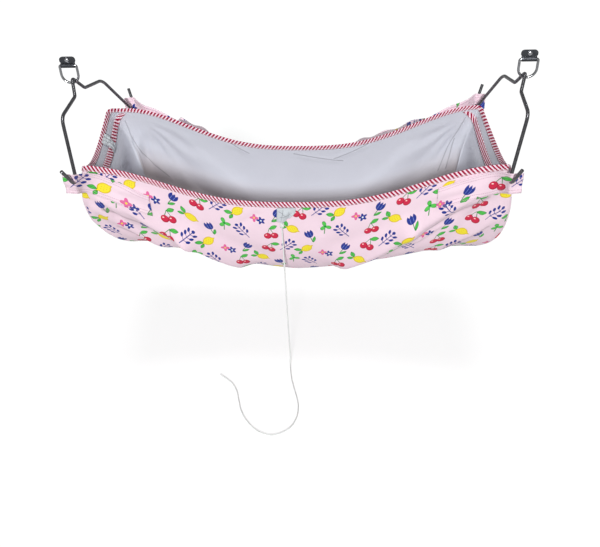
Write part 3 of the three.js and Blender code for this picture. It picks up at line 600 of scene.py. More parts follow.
# Folds of the hanging cloth on the long walls: each runs from one place to another (x, distance below the
# rim), rises this much, and dies away over one width towards the rim and another towards the floor.
folds = {
    front: [
        ((-0.462, 0.064), (-0.250, 0.156), 0.0220, 0.045, 0.030),
        ((-0.275, 0.145), (-0.130, 0.240), 0.0200, 0.045, 0.030),
        ((-0.430, 0.118), (-0.180, 0.250), -0.0060, 0.016, 0.032),
        ((-0.468, 0.098), (-0.325, 0.240), 0.0120, 0.022, 0.018),
        ((-0.430, 0.150), (-0.345, 0.250), -0.0035, 0.010, 0.018),
        ((-0.300, 0.060), (-0.060, 0.170), -0.0045, 0.026, 0.026),
        ((0.458, 0.044), (0.262, 0.130), 0.0170, 0.038, 0.030),
        ((0.285, 0.120), (0.105, 0.225), 0.0190, 0.045, 0.036),
        ((0.400, 0.098), (0.140, 0.252), -0.0070, 0.012, 0.034),
        ((0.482, 0.126), (0.345, 0.268), 0.0100, 0.024, 0.018),
        ((0.455, 0.075), (0.400, 0.130), -0.0030, 0.008, 0.010),
        ((0.352, 0.138), (0.285, 0.176), 0.0070, 0.012, 0.007),
        ((0.330, 0.050), (0.080, 0.130), -0.0045, 0.026, 0.026),
        ((-0.125, 0.060), (-0.080, 0.028), -0.0030, 0.007, 0.010),
        ((0.045, 0.030), (0.070, 0.085), -0.0035, 0.016, 0.016),
        ((-0.230, 0.012), (-0.200, 0.085), -0.0022, 0.014, 0.014),
        ((0.170, 0.010), (0.190, 0.070), -0.0024, 0.013, 0.013),
    ],
    rear: [
        ((-0.425, 0.084), (-0.120, 0.275), 0.0080, 0.030, 0.020),
        ((-0.320, 0.070), (-0.060, 0.200), -0.0040, 0.028, 0.028),
        ((0.425, 0.084), (0.120, 0.275), 0.0080, 0.030, 0.020),
        ((0.320, 0.070), (0.060, 0.200), -0.0040, 0.028, 0.028),
    ],
}
# Folds that rise more than the first value have a sharper crest than the others
ridge = {"from": 0.009, "sharpness": 1.15, "ease": 0.05, "endShare": 0.4}


def foldLift(foldList, x, down, ease=ridge["ease"]):
    lift = 0
    for (x0, d0), (x1, d1), rise, above, below in foldList:
        length = math.hypot(x1 - x0, d1 - d0)
        alongX, alongD = (x1 - x0) / length, (d1 - d0) / length
        reach = (x - x0) * alongX + (down - d0) * alongD
        fade = min(ease, length * ridge["endShare"])
        ends = smooth(reach, -fade / 2, fade / 2) * (1 - smooth(reach, length - fade / 2, length + fade / 2))
        aside = (down - d0) * alongX - (x - x0) * alongD
        if alongX < 0:
            aside = -aside
        power = ridge["sharpness"] if rise > ridge["from"] else 2
        lift += rise * ends * math.exp(-abs(aside / (below if aside > 0 else above)) ** power)
    return lift


ruffle = {"soft": 0.0016, "softScale": 7.0, "softEase": (0.01, 0.08), "pull": 0.0026, "pullCount": 15,
          "pullRise": (0.03, 0.09), "pullFall": (0.10, 0.22), "pullEase": (0.012, 0.05), "wander": 2.2,
          "hookX": 0.455, "hookDown": 0.035}


def ruffleLift(side, x, down):
    # soft unevenness, and puckers that spread from the corners where the straps pull
    soft = noise.noise(Vector((x * ruffle["softScale"], down * ruffle["softScale"] * 1.5, side * 3.1)))
    lift = ruffle["soft"] * soft * smooth(down, *ruffle["softEase"])
    if side in (front, rear):
        outX = ruffle["hookX"] - abs(x)
        fall = down - ruffle["hookDown"]
        distance = math.hypot(outX, fall)
        angle = math.atan2(fall, outX)
        near = smooth(distance, *ruffle["pullRise"]) * (1 - smooth(distance, *ruffle["pullFall"]))
        rough = noise.noise(Vector((distance * 9, angle * 1.3, side + math.copysign(1.7, x))))
        wave = math.sin(angle * ruffle["pullCount"] + ruffle["wander"] * rough)
        lift += ruffle["pull"] * near * wave * smooth(down, *ruffle["pullEase"])
    return lift


def outwardNormals(points):
    count, depth = len(points), len(points[0])
    normals = []
    for c in range(count):
        before, after = points[c - 1], points[(c + 1) % count]
        normals.append([])
        for r in range(depth):
            across = after[r] - before[r]
            if across.length < 1e-4:
                across = after[r - 1] - before[r - 1]
            down = points[c][min(r + 1, depth - 1)] - points[c][max(r - 1, 0)]
            normals[c].append(down.cross(across).normalized())
    # where walls meet at the floor line they share one normal
    shared = {}
    for c in range(count):
        p = points[c][-1]
        shared.setdefault((round(p.x, 4), round(p.z, 4)), []).append(c)
    for members in shared.values():
        total = sum((normals[c][-1] for c in members), Vector()).normalized()
        for c in members:
            normals[c][-1] = total
    return normals


columns, firstColumn, places = [], {}, {}
for side in (front, right, rear, left):
    firstColumn[side] = len(columns)
    places[side] = sidePlaces(side)
    columns += [(side, distance) for distance in places[side][:-1]]

wall, wallDepths = [], []
for side, distance in columns:
    start = roundedRim(side, distance)
    shift = Vector()
    if side == rear:
        shift = floorPoint(rimPoint(front, 1 - distance / sideLength[rear]).x) - floorPoint(start.x)
    line = wallLine(side, start, rimPoint(side, distance / sideLength[side]), shift)
    lengths = runLengths(line)
    depths = rowDepths + [mix(rowDepths[-1], lengths[-1], k / rowsBelow) for k in range(1, rowsBelow + 1)]
    points = []
    for depth in depths:
        at, share = spanAt(lengths, depth)
        points.append(line[at].lerp(line[at + 1], min(1, share)))
    wall.append(points)
    wallDepths.append(depths)

wallNormals = outwardNormals(wall)
for (side, _), points, normals, depths in zip(columns, wall, wallNormals, wallDepths):
    for r, (p, depth) in enumerate(zip(points, depths)):
        x = p.x if side in (front, rear) else p.y
        lift = foldLift(folds.get(side, []), x, depth) + ruffleLift(side, x, depth)
        points[r] = p + normals[r] * lift * (1 - smooth(depth / depths[-1], tub["plainFrom"], 1))
wallNormals = outwardNormals(wall)
print("tub shape worked out:", len(columns), "columns of", len(wall[0]), "rows")


def clothPoint(column, depth, offset):
    # a point on the tub at a part share of a column, a distance below the rim and an offset outward
    first = math.floor(column)
    found = []
    for c in (first % len(columns), (first + 1) % len(columns)):
        r, share = spanAt(wallDepths[c], depth)
        normal = wallNormals[c][r].lerp(wallNormals[c][r + 1], max(0, share)).normalized()
        found.append(wall[c][r].lerp(wall[c][r + 1], share) + normal * offset)
    return found[0].lerp(found[1], column - first)


def columnAt(side, distance):
    # the column at a distance from a side's first corner, which may lie round the corner
    if distance < 0:
        before = (side - 1) % 4
        return columnAt(before, sideLength[before] + distance)
    if distance > sideLength[side]:
        return columnAt((side + 1) % 4, distance - sideLength[side])
    i, share = spanAt(places[side], distance)
    return firstColumn[side] + i + share


def longColumn(side, x):
    return columnAt(side, x + tub["left"][0] if side == front else tub["right"][2] - x)


layers = {
    "outer": 0.00065, "lining": -0.00055, "outerThickness": 0.0010, "liningThickness": 0.0008,
    "trim": 0.00185, "trimThickness": 0.0008, "innerTrim": -0.00165, "hem": -0.00225,
    "label": -0.0035, "labelThickness": 0.0005, "strap": 0.00335, "strapThickness": 0.0016,
}
mapShift = {front: 0, right: 1.27, rear: 0.613, left: 1.68}


def tubCloth(offset, shift):
    # a grid closed round the rim, with a map of its own for each wall
    count, depth = len(columns), len(wall[0])
    bm = bmesh.new()
    bmesh.ops.create_grid(bm, x_segments=count, y_segments=depth - 1, size=0.5)
    layer = bm.loops.layers.uv.new("cloth")
    spot = {}
    for vert in bm.verts:
        i = round((vert.co.x + 0.5) * count)
        r = round((vert.co.y + 0.5) * (depth - 1))
        spot[vert] = (i, r)
        p, normal = wall[i % count][r], wallNormals[i % count][r]
        vert.co = p + normal * offset + shift(columns[i % count][0], p, normal, wallDepths[i % count][r])
    for face in bm.faces:
        side = columns[min(spot[v][0] for v in face.verts)][0]
        turn = 1 if side in (front, right) else -1
        middle = rimPoint(side, 0.5)
        slope = (floorPoint(middle.x) - middle).normalized()
        for loop in face.loops:
            i, r = spot[loop.vert]
            p = wall[i % count][r]
            if side in (front, rear):
                u, v = p.x, wallDepths[i % count][r]
            else:
                u, v = p.y, (p - middle).dot(slope)
            loop[layer].uv = (turn * u + mapShift[side], -v)
    bmesh.ops.remove_doubles(bm, verts=bm.verts, dist=2e-5)
    return bm


# Cloth looks

def softCloth(name, tint, shade, sheen):
    material, shader, start = newMaterial(name, {"Roughness": 0.85, "Specular IOR Level": 0.25,
                                                 "Sheen Weight": sheen, "Sheen Roughness": 0.5})
    uv, u, v = clothMap(start)
    return material, shader, uv, u, v, spots(uv, 14, 3.0).blend(colour(*tint), colour(*shade))


def dressed(material, shader, tone, height, strength=0.5, distance=0.0006):
    feed(shader, {"Base Color": tone, "Normal": bumped(height, strength, distance)})
    return material


# The print's sizes and places are in millimetres
pattern = {"period": 240, "rise": 105, "shift": 80, "edge": 0.5, "size": 1.27}
inks = {
    "red": (208, 42, 74), "deepRed": (164, 24, 54), "leaf": (88, 200, 84), "deepLeaf": (34, 138, 58),
    "yellow": (246, 228, 56), "deepYellow": (214, 178, 28), "blue": (40, 56, 142),
    "paleBlue": (112, 130, 204), "pink": (226, 104, 160), "shine": (255, 216, 214), "white": (238, 244, 252),
}


def turned(x, y, angle, size=1):
    c, s = math.cos(angle) / size, math.sin(angle) / size
    return x * c + y * s, y * c - x * s


def motifPlace(u, v, x, y, turn):
    # rows of the pattern are staggered
    row = ((v - y) / pattern["rise"]).math("ROUND")
    across = (u - x - row * pattern["shift"]).wrap(pattern["period"])
    return turned(across, v - y - row * pattern["rise"], math.radians(turn), pattern["size"])


def oval(x, y, a, b):
    # distance outside an oval, near enough at its edge
    return ((x / a) * (x / a) + (y / b) * (y / b)).math("SQRT") * min(a, b) - min(a, b)


def leafShape(x, y, length, width):
    # pointed at both ends
    return abs(y) - (1 - (x / length) * (x / length)) * width


def stalk(x, y, start, end, halfWidth):
    # distance outside a straight line between two places
    runX, runY = end[0] - start[0], end[1] - start[1]
    total = runX * runX + runY * runY
    a, b = x - start[0], y - start[1]
    t = (a * (runX / total) + b * (runY / total)).math("ADD", 0, clamp=True)
    p, q = a - t * runX, b - t * runY
    return (p * p + q * q).math("SQRT") - halfWidth


def ink(tone, name, *distances, edge=pattern["edge"]):
    # colours the cloth where all these distances are below zero
    mask = distances[0].inside(edge)
    for away in distances[1:]:
        mask = mask * away.inside(edge)
    return mask.blend(tone, colour(*inks[name]))


def leaf(tone, x, y, turn, length, width):
    a, b = turned(x, y, turn)
    tone = ink(tone, "deepLeaf", leafShape(a, b, length, width))
    tone = ink(tone, "leaf", leafShape(a, b, length - 1.6, width - 0.9))
    return ink(tone, "deepLeaf", abs(b) - 0.4, abs(a) - length * 0.7)


def cherries(tone, x, y):
    for middleX, middleY in ((-6.4, -5.0), (6.6, -6.6)):
        a, b = x - middleX, y - middleY
        tone = ink(tone, "deepLeaf", stalk(x, y, (middleX * 0.9, middleY + 5), (1.5, 12), 0.6))
        tone = ink(tone, "deepRed", oval(a, b, 7.2, 7.0))
        tone = ink(tone, "red", oval(a + 0.5, b - 0.5, 6.2, 6.0), edge=1.6)
        tone = ink(tone, "shine", oval(a + 2.3, b - 2.5, 1.7, 1.2))
    return leaf(tone, x - 9, y - 12.5, 0.30, 8.5, 4.4)


def lemon(tone, x, y):
    body = oval(x, y, 11.0, 8.6).least(leafShape(x, y, 15.0, 5.0))
    tone = ink(tone, "deepYellow", body)
    tone = ink(tone, "yellow", body + 1.3, edge=1.2)
    tone = ink(tone, "deepYellow", oval((x + y).wrap(5.4), (x - y).wrap(5.4), 0.8, 0.8), body + 3.2)
    tone = leaf(tone, x + 16.5, y - 6.5, -0.75, 8.0, 4.2)
    return leaf(tone, x + 17.5, y + 3.5, 0.35, 6.5, 3.4)


def tulip(tone, x, y):
    tone = ink(tone, "deepLeaf", stalk(x, y, (0, -17), (0, -2), 0.7))
    tone = leaf(tone, x - 4.6, y + 12.5, 1.0, 8.0, 2.9)
    cup = oval(x, y - 3.5, 8.4, 9.6).most(abs(x.wrap(5.6)) * 1.9 + y - 11.5)
    tone = ink(tone, "blue", cup)
    return ink(tone, "paleBlue", abs(abs(x) - 2.8) - 0.45, cup + 1.6)


def flower(tone, x, y, size, petals, wave, name, heart):
    angle = y.math("ARCTAN2", x)
    radius = (x * x + y * y).math("SQRT")
    reach = (angle * petals).math("COSINE") * (wave * size) + (1 - wave) * size
    tone = ink(tone, name, radius - reach)
    return ink(tone, heart, radius - 0.20 * size)


def clover(tone, x, y):
    tone = ink(tone, "deepLeaf", stalk(x, y, (0, 0), (2.5, -16), 0.8))
    tone = flower(tone, x, y, 12.0, 3, 0.36, "deepLeaf", "deepLeaf")
    return flower(tone, x, y, 10.6, 3, 0.36, "leaf", "deepLeaf")


def berryTwig(tone, x, y):
    # a dark blue twig with round berries on both sides
    side = abs(x)
    climb = y - side * 0.6
    reach = abs(climb) - 12.9
    along = climb.wrap(8.6)
    tone = ink(tone, "blue", oval(side - 7.6, along, 3.1, 3.1), reach, side - 11.5)
    tone = ink(tone, "blue", abs(along) - 0.5, side - 6, reach)
    tone = ink(tone, "blue", stalk(x, y, (0, -18), (0, 14), 0.7))
    return ink(tone, "blue", oval(x, y - 17, 3.1, 3.1))


stitches = {"half": 0.0004, "edge": 0.0003, "length": 0.0032, "tapeLength": 0.0028, "dash": 0.34,
            "endEdge": 0.0004, "tone": (196, 152, 174)}


def stitching(u, v, lines, length):
    # dashes along u at each of these places across
    seam = None
    for line in lines:
        here = (abs(v - line) - stitches["half"]).inside(stitches["edge"])
        seam = here if seam is None else seam.most(here)
    return seam * (abs(u.wrap(length)) - length * stitches["dash"]).inside(stitches["endEdge"])


motifs = (
    (cherries, 24, 20, 12), (lemon, 78, 34, -25), (tulip, 118, 16, 20), (clover, 156, 40, -15),
    (berryTwig, 198, 22, 38), (tulip, 42, 74, -34), (cherries, 98, 80, -18), (berryTwig, 142, 86, -50),
    (lemon, 190, 78, 35),
)
# Painted shade along the folds on the front wall: dark lines from one place to another (x, distance below the
# rim), with a half width
foldShadeLines = [
    ((-0.440, 0.100), (-0.300, 0.158), 0.0030), ((-0.300, 0.158), (-0.235, 0.188), 0.0024),
    ((-0.235, 0.188), (-0.140, 0.245), 0.0018), ((-0.425, 0.165), (-0.350, 0.225), 0.0018),
    ((0.440, 0.072), (0.290, 0.146), 0.0026), ((0.290, 0.146), (0.120, 0.238), 0.0022),
    ((0.455, 0.165), (0.370, 0.235), 0.0018),
]
# the cloth's own pinks, and the colour and strength of the painted fold shade
cotton = {"high": (246, 222, 233), "low": (240, 213, 227), "sheen": 0.12, "paintedFoldShade": (150, 122, 136),
          "foldShadeShare": 0.60, "foldShadeEdge": 0.009}


def printedCloth(name, stitchLines=(), paintedFoldShade=()):
    material, shader, uv, u, v, tone = softCloth(name, cotton["high"], cotton["low"], cotton["sheen"])
    mmU, mmV = u * 1000, v * 1000
    for motif, x, y, turn in motifs:
        tone = motif(tone, *motifPlace(mmU, mmV, x, y, turn))
    tone = flower(tone, *motifPlace(mmU, mmV, 228, 62, 0), 8.5, 4, 0.25, "pink", "yellow")
    tone = flower(tone, *motifPlace(mmU, mmV, 4, 56, 30), 8.5, 5, 0.25, "blue", "white")
    height = weave(u, v, 0.0005) * 0.25 + spots(uv, 90) * 0.75
    if stitchLines:
        stitch = stitching(u, v, stitchLines, stitches["length"])
        tone = stitch.blend(tone, colour(*stitches["tone"]))
        height = height - stitch * 1.5
    # painted shade: dark lines along the folds, where their shadow falls
    for (x0, d0), (x1, d1), half in paintedFoldShade:
        line = stalk(u, v, (x0, -d0), (x1, -d1), half).inside(cotton["foldShadeEdge"])
        tone = (line * cotton["foldShadeShare"]).blend(tone, colour(*cotton["paintedFoldShade"]))
    return dressed(material, shader, tone, height)


# Crease lines on the lining's rear wall (x, distance below the rim): each sinks as a bump and gets painted
# shade
sharpCreases = [
    [(-0.487, 0.036), (-0.473, 0.092), (-0.450, 0.135), (-0.421, 0.162), (-0.376, 0.177)],
    [(-0.212, 0.003), (-0.145, 0.028)],
    [(-0.020, 0.020), (0.115, 0.046)],
    [(0.090, 0.038), (0.185, 0.010)],
    [(0.440, 0.030), (0.400, 0.113), (0.378, 0.160)],
    [(0.418, 0.088), (0.398, 0.165)],
]
# The lining's own colours, and the painted shade towards the floor and along the creases
liningToneAndShade = {"high": (208, 210, 220), "highShade": (201, 203, 213), "low": (190, 181, 183), "from": 0.150,
              "edge": 0.080, "creaseShade": (112, 112, 120), "creaseHalf": 0.0010, "creaseEdge": 0.0022,
              "creaseShadeShare": 0.55}


def liningCloth():
    high = liningToneAndShade["high"], liningToneAndShade["highShade"]
    material, shader, uv, u, v, tone = softCloth("liningCloth", *high, 0.10)
    # painted shade: the lining is drawn darker and warmer below this depth, for the front wall's shadow and
    # the light bounced off the pink outer cloth
    tone = (v + liningToneAndShade["from"]).inside(liningToneAndShade["edge"]).blend(tone, colour(*liningToneAndShade["low"]))
    nearest = None
    for line in sharpCreases:
        for (x0, d0), (x1, d1) in zip(line, line[1:]):
            away = stalk(u, v, (mapShift[rear] - x0, -d0), (mapShift[rear] - x1, -d1), 0)
            nearest = away if nearest is None else nearest.least(away)
    # painted shade: the lining is darker along the crease lines, which also sink as a bump
    valleyBumpAndShade = (nearest - liningToneAndShade["creaseHalf"]).inside(liningToneAndShade["creaseEdge"])
    tone = (valleyBumpAndShade * liningToneAndShade["creaseShadeShare"]).blend(tone, colour(*liningToneAndShade["creaseShade"]))
    height = weave(u, v, 0.0006) * 0.3 + spots(uv, 60) * 0.7 - valleyBumpAndShade * 3.0
    return dressed(material, shader, tone, height)


stripes = {"period": {front: 0.0090, rear: 0.0094, left: 0.0120, right: 0.0120}, "slant": 0.8, "share": 0.54,
           "edge": 0.0004, "red": (160, 10, 58), "pale": (244, 220, 233), "thread": (244, 240, 240)}


def stripedTape(name, slant, seam, period):
    # slanting stripes, with a line of stitches at the same place on both sides of the middle
    material, shader, uv, u, v, tone = softCloth(name, stripes["pale"], stripes["pale"], 0.08)
    phase = abs((u + v * (slant * stripes["slant"])).wrap(period))
    red = (phase - period * stripes["share"] / 2).inside(stripes["edge"])
    tone = red.blend(tone, colour(*stripes["red"]))
    stitch = stitching(u, v, (seam, -seam), stitches["tapeLength"])
    tone = stitch.blend(tone, colour(*stripes["thread"]))
    height = weave(u, v, 0.0005) * 0.4 - stitch * 1.2 + spots(uv, 150) * 0.6
    return dressed(material, shader, tone, height, 0.08, 0.0005)


tapeTone = {"high": (216, 221, 226), "low": (188, 194, 200), "sheen": 0.12, "shade": (112, 118, 124),
            "shadeEdge": 0.0008, "shadeShare": 0.75}


def whiteTape(name, rib, shade=()):
    material, shader, uv, u, v, tone = softCloth(name, tapeTone["high"], tapeTone["low"], tapeTone["sheen"])
    height = ribs(u, rib) * 0.6 + weave(u, v, 0.0006) * 0.4
    for start, end, half in shade:
        line = stalk(u, v, start, end, half).inside(tapeTone["shadeEdge"])
        tone = (line * tapeTone["shadeShare"]).blend(tone, colour(*tapeTone["shade"]))
        height = height - line
    return dressed(material, shader, tone, height)


# Outer cloth and lining

# Each span has its two ends, and how far it goes out and up
puffs = {"spans": [(-0.346, -0.215, 0.012, 0.008), (0.110, 0.346, 0.012, 0.007)], "from": 0.0121,
         "fullTo": 0.022, "to": 0.075, "ease": 0.07, "outerEdge": (0.331, 0.345), "wave": 0.15,
         "waveCount": 90, "roll": 0.85}


def rearPuff(side, p, normal, depth):
    # the slack outer cloth rolls out over the rear rim along two spans
    move = Vector()
    if side != rear or depth <= puffs["from"]:
        return move
    fall = 1 - smooth(depth, puffs["fullTo"], puffs["to"])
    wave = 1 + puffs["wave"] * math.sin(p.x * puffs["waveCount"])
    for low, high, out, rise in puffs["spans"]:
        near = min(abs(low), abs(high))
        share = smooth(abs(p.x), near, near + puffs["ease"]) * (1 - smooth(abs(p.x), *puffs["outerEdge"]))
        if low < p.x < high:
            move += Vector((0, out, rise + depth * puffs["roll"])) * (share * fall * wave)
    return move


liningCreases = [
    ((-0.487, 0.036), (-0.472, 0.096), 0.0010, 0.004, 0.008),
    ((-0.474, 0.088), (-0.446, 0.140), 0.0012, 0.004, 0.008),
    ((-0.452, 0.132), (-0.370, 0.180), 0.0014, 0.004, 0.008),
    ((-0.440, 0.060), (-0.300, 0.190), 0.0020, 0.012, 0.016),
    ((-0.330, 0.040), (-0.140, 0.150), 0.0016, 0.012, 0.016),
    ((-0.212, 0.004), (-0.145, 0.028), 0.0024, 0.003, 0.008),
    ((-0.010, 0.024), (0.115, 0.046), 0.0020, 0.003, 0.008),
    ((0.090, 0.036), (0.185, 0.012), 0.0020, 0.003, 0.007),
    ((0.440, 0.030), (0.400, 0.113), 0.0026, 0.004, 0.008),
    ((0.402, 0.108), (0.378, 0.160), 0.0024, 0.003, 0.006),
    ((0.418, 0.088), (0.398, 0.165), 0.0022, 0.003, 0.007),
    ((0.330, 0.040), (0.150, 0.150), 0.0016, 0.014, 0.018),
]
creases = {"from": 0.014, "ease": 0.03}


def liningCrease(side, p, normal, depth):
    # creases stand towards the inside, off the outer cloth
    if side != rear or depth < creases["from"]:
        return Vector()
    return normal * -abs(foldLift(liningCreases, p.x, depth, creases["ease"]))


outerCloth = finishPiece(tubCloth(layers["outer"], rearPuff), "outer_cloth", "tub", "cradle",
                         printedCloth("printedCotton", paintedFoldShade=foldShadeLines),
                         layers["outerThickness"], turnOut=False)
liningPiece = finishPiece(tubCloth(layers["lining"], liningCrease), "lining", "tub", "cradle",
                          liningCloth(), layers["liningThickness"], turnOut=False)
print("tub cloth and lining made")


# Striped binding over the rim, and striped tape round both ends of the lining

binding = {"leg": {front: 0.0115, rear: 0.0092, left: 0.0105, right: 0.0105}, "seam": 0.0022, "legRows": 5,
           "crestRows": 6, "upFrom": 0.006}


def rimSection(column, leg):
    # a loop over the edge: down the inside, over the crest, down the outside
    inner, outer = layers["innerTrim"], layers["trim"]
    up = (clothPoint(column, 0, 0) - clothPoint(column, binding["upFrom"], 0)).normalized()
    middle, radius = (inner + outer) / 2, (outer - inner) / 2
    depths = [leg * k / binding["legRows"] for k in range(1, binding["legRows"] + 1)]
    section = [clothPoint(column, depth, inner) for depth in reversed(depths)]
    for k in range(binding["crestRows"] + 1):
        angle = math.pi * k / binding["crestRows"]
        crest = clothPoint(column, 0, middle - radius * math.cos(angle))
        section.append(crest + up * radius * math.sin(angle))
    return section + [clothPoint(column, depth, outer) for depth in depths]


def makeBinding(name, side, slant):
    sections = [rimSection(firstColumn[side] + i, binding["leg"][side]) for i in range(len(places[side]))]
    middleRow = len(sections[0]) // 2
    runs = runLengths([section[middleRow] for section in sections])
    widths = runLengths(sections[0])

    def place(i, j):
        return sections[i][j], (runs[i], widths[j] - widths[middleRow])

    bm = mappedGrid(len(sections) - 1, len(widths) - 1, place)
    material = stripedTape(name + "Stripes", slant, widths[-1] / 2 - binding["seam"], stripes["period"][side])
    return finishPiece(bm, name, "tape", "cradle", material, layers["trimThickness"])


hem = {"from": 0.028, "to": 0.046, "topFrom": 0.029, "topTo": 0.045, "top": 0.0123, "cornerSteps": 10,
       "rows": 5, "seam": 0.002}


def makeHemTape(name, side):
    # straight across the end, then round both corners and up to the binding
    def cornerRung(share, past):
        corner = sideLength[side] if past > 0 else 0
        return [(columnAt(side, corner + past * hem[top] * share), mix(hem[edge], hem["top"], share))
                for edge, top in (("from", "topFrom"), ("to", "topTo"))]

    shares = [k / hem["cornerSteps"] for k in range(1, hem["cornerSteps"] + 1)]
    rungs = [cornerRung(share, -1) for share in reversed(shares)]
    rungs += [[(firstColumn[side] + i, hem["from"]), (firstColumn[side] + i, hem["to"])]
              for i in range(len(places[side]))]
    rungs += [cornerRung(share, 1) for share in shares]

    def at(i, j):
        (near, high), (far, low) = rungs[i]
        if abs(near - far) > len(columns) / 2:
            near, far = (near + len(columns), far) if near < far else (near, far + len(columns))
        share = j / hem["rows"]
        return clothPoint(mix(near, far, share), mix(high, low, share), layers["hem"])

    runs = runLengths([at(i, hem["rows"] // 2) for i in range(len(rungs))])
    width = hem["to"] - hem["from"]

    def place(i, j):
        return at(i, j), (runs[i], width * (j / hem["rows"] - 0.5))

    material = stripedTape(name + "Stripes", 1, width / 2 - hem["seam"], stripes["period"][side])
    bm = mappedGrid(len(rungs) - 1, hem["rows"], place)
    return finishPiece(bm, name, "strip", "cradle", material, layers["trimThickness"])


trims = [
    makeBinding("front_rim_binding", front, -1),
    makeBinding("rear_rim_binding", rear, 1),
    makeBinding("left_end_binding", left, 1),
    makeBinding("right_end_binding", right, 1),
    makeHemTape("left_hem_tape", left),
    makeHemTape("right_hem_tape", right),
]
print("bindings and hem tapes made")


# The blank label on the left hem tape

label = {"from": 0.215, "to": 0.315, "top": 0.006, "low": 0.047, "rows": 28, "pinch": 0.22,
         "pinchHalf": 0.22, "crumple": 0.0034, "wave": 0.6, "width": 0.044, "height": 0.036}


def makeLabel():
    def place(i, j):
        # drawn in at the middle like a bow, and crumpled towards the inside
        along, across = i / label["rows"], j / label["rows"]
        waist = 1 - label["pinch"] * math.exp(-((across - 0.5) / label["pinchHalf"]) ** 2)
        share = mix(label["from"], label["to"], 0.5 + (along - 0.5) * waist)
        rough = noise.noise(Vector((along * 4.2, across * 3.4, 5.1)))
        rough += label["wave"] * math.sin(along * 17 + across * 5)
        hollow = math.sin(math.pi * min(1, max(0, across * 1.04 - 0.02))) ** 0.6
        puff = label["crumple"] * (0.9 + rough) * hollow
        at = clothPoint(columnAt(left, share * sideLength[left]), mix(label["top"], label["low"], across),
                        layers["label"] - max(0, puff))
        return at, (along * label["width"], across * label["height"])

    bm = mappedGrid(label["rows"], label["rows"], place)
    return finishPiece(bm, "blank_label", "patch", "cradle", whiteTape("labelTape", 0.0016),
                       layers["labelThickness"])


trims.append(makeLabel())


# Corner straps: sewn along the wall, then standing off it out to the hook and a little past it

strap = {
    "from": 0.330, "leavesWall": 0.415, "tail": 0.026, "tailTuck": 0.005, "insideCorner": 0.004,
    "width": {front: 0.050, rear: 0.062}, "topEdge": {front: 0.012, rear: 0.0}, "dropTo": 0.455,
    "sewnDrop": {"front_left": 0.030, "front_right": 0.012}, "aboveHook": {front: 0.023, rear: 0.038},
    "endHeight": {front: 0.046, rear: 0.052}, "aboveRim": 0.013, "along": 74, "across": 20,
    "ripple": 0.0017, "rippleCount": 9, "rippleFrom": 0.03, "crumple": 0.0035, "crumpleFrom": 0.05,
    "crumpleTo": 0.01, "crumpleUp": 0.6, "mapWidth": 0.051, "mapShift": 0.19,
}
strapCotton = printedCloth("strapCotton", (-0.0035, -0.0095, -0.0420, -0.0480))


def makeStrap(corner, sideX, side):
    sideY = -1 if side == front else 1
    hook = yokePoint(sideX, sideY * wire["hookLow"][0], wire["hookLow"][1])
    hook.y += sideY * layers["strapThickness"] / 2
    drop = strap["sewnDrop"].get(corner, 0)
    hookReach = abs(hook.x)
    cornerReach = tub["left" if sideX < 0 else "right"][0 if side == front else 2]
    wallEnd = min(hookReach, cornerReach - strap["insideCorner"])

    def place(i, j):
        reach = mix(strap["from"], hookReach + strap["tail"], i / strap["along"])
        down = j / strap["across"]
        wallReach = min(reach, wallEnd)
        depth = strap["topEdge"][side] + drop * (1 - smooth(wallReach, strap["from"], strap["dropTo"]))
        depth += strap["width"][side] * down
        at = clothPoint(longColumn(side, sideX * wallReach), depth, layers["strap"])
        if side == rear:
            stand = smooth(wallReach, strap["from"], strap["leavesWall"])
            at.z += strap["aboveRim"] * stand * (1 - down) ** 3
        share = min(1, max(0, (reach - strap["leavesWall"]) / (hookReach - strap["leavesWall"]))) ** 2
        level = hook.z + strap["aboveHook"][side] - strap["endHeight"][side] * down
        at = at.lerp(Vector((sideX * min(reach, hookReach), hook.y, level)), share)
        past = max(0, reach - hookReach)
        at.x += sideX * past
        at.y -= sideY * past / strap["tail"] * strap["tailTuck"]
        # puckers run in towards the wire
        fade = smooth(reach, strap["leavesWall"] - strap["rippleFrom"], hookReach)
        wave = math.sin(down * strap["rippleCount"] + sideX + sideY * 2 + reach * 40)
        at.y += sideY * strap["ripple"] * fade * wave
        rough = noise.noise(Vector((reach * 55, down * 2.6, sideX * 3.3 + sideY)))
        rough *= smooth(reach, hookReach - strap["crumpleFrom"], hookReach + strap["crumpleTo"])
        at += Vector((0, sideY, strap["crumpleUp"])) * (strap["crumple"] * rough)
        return at, (reach * sideX + strap["mapShift"] * sideY, -strap["mapWidth"] * down)

    bm = mappedGrid(strap["along"], strap["across"], place)
    return finishPiece(bm, corner + "_corner_strap", "strip", "cradle", strapCotton,
                       layers["strapThickness"])


for endName, sideX in (("left", -1), ("right", 1)):
    for sideName, side in (("front", front), ("rear", rear)):
        trims.append(makeStrap(f"{sideName}_{endName}", sideX, side))
print("corner straps made")


# Tape tab, knot and pull cord under the middle of the front rim

cordShape = {"diameter": 0.0035, "onGround": -0.76475, "sides": 14, "step": 0.0007, "pitch": 0.010,
             "lobe": 0.16, "girth": 0.011, "ply": 0.0022, "low": (214, 218, 216), "high": (246, 248, 246)}
cordRoute = [
    (-0.0260, -0.1739, -0.34445), (-0.0252, -0.1739, -0.413), (-0.0244, -0.1739, -0.494),
    (-0.0236, -0.1739, -0.584), (-0.0228, -0.1739, -0.674), (-0.0220, -0.1739, -0.728),
    (-0.0216, -0.1780, -0.75275), (-0.0214, -0.1820, -0.76075),
] + [(x, y, cordShape["onGround"]) for x, y in (
    (-0.021, -0.190), (-0.016, -0.228), (-0.006, -0.271), (0.004, -0.307), (0.010, -0.342),
    (0.008, -0.376), (-0.004, -0.407), (-0.027, -0.428), (-0.052, -0.435), (-0.076, -0.427),
    (-0.097, -0.411), (-0.116, -0.387), (-0.132, -0.357), (-0.143, -0.322), (-0.154, -0.286),
    (-0.168, -0.261), (-0.186, -0.243), (-0.206, -0.226))]


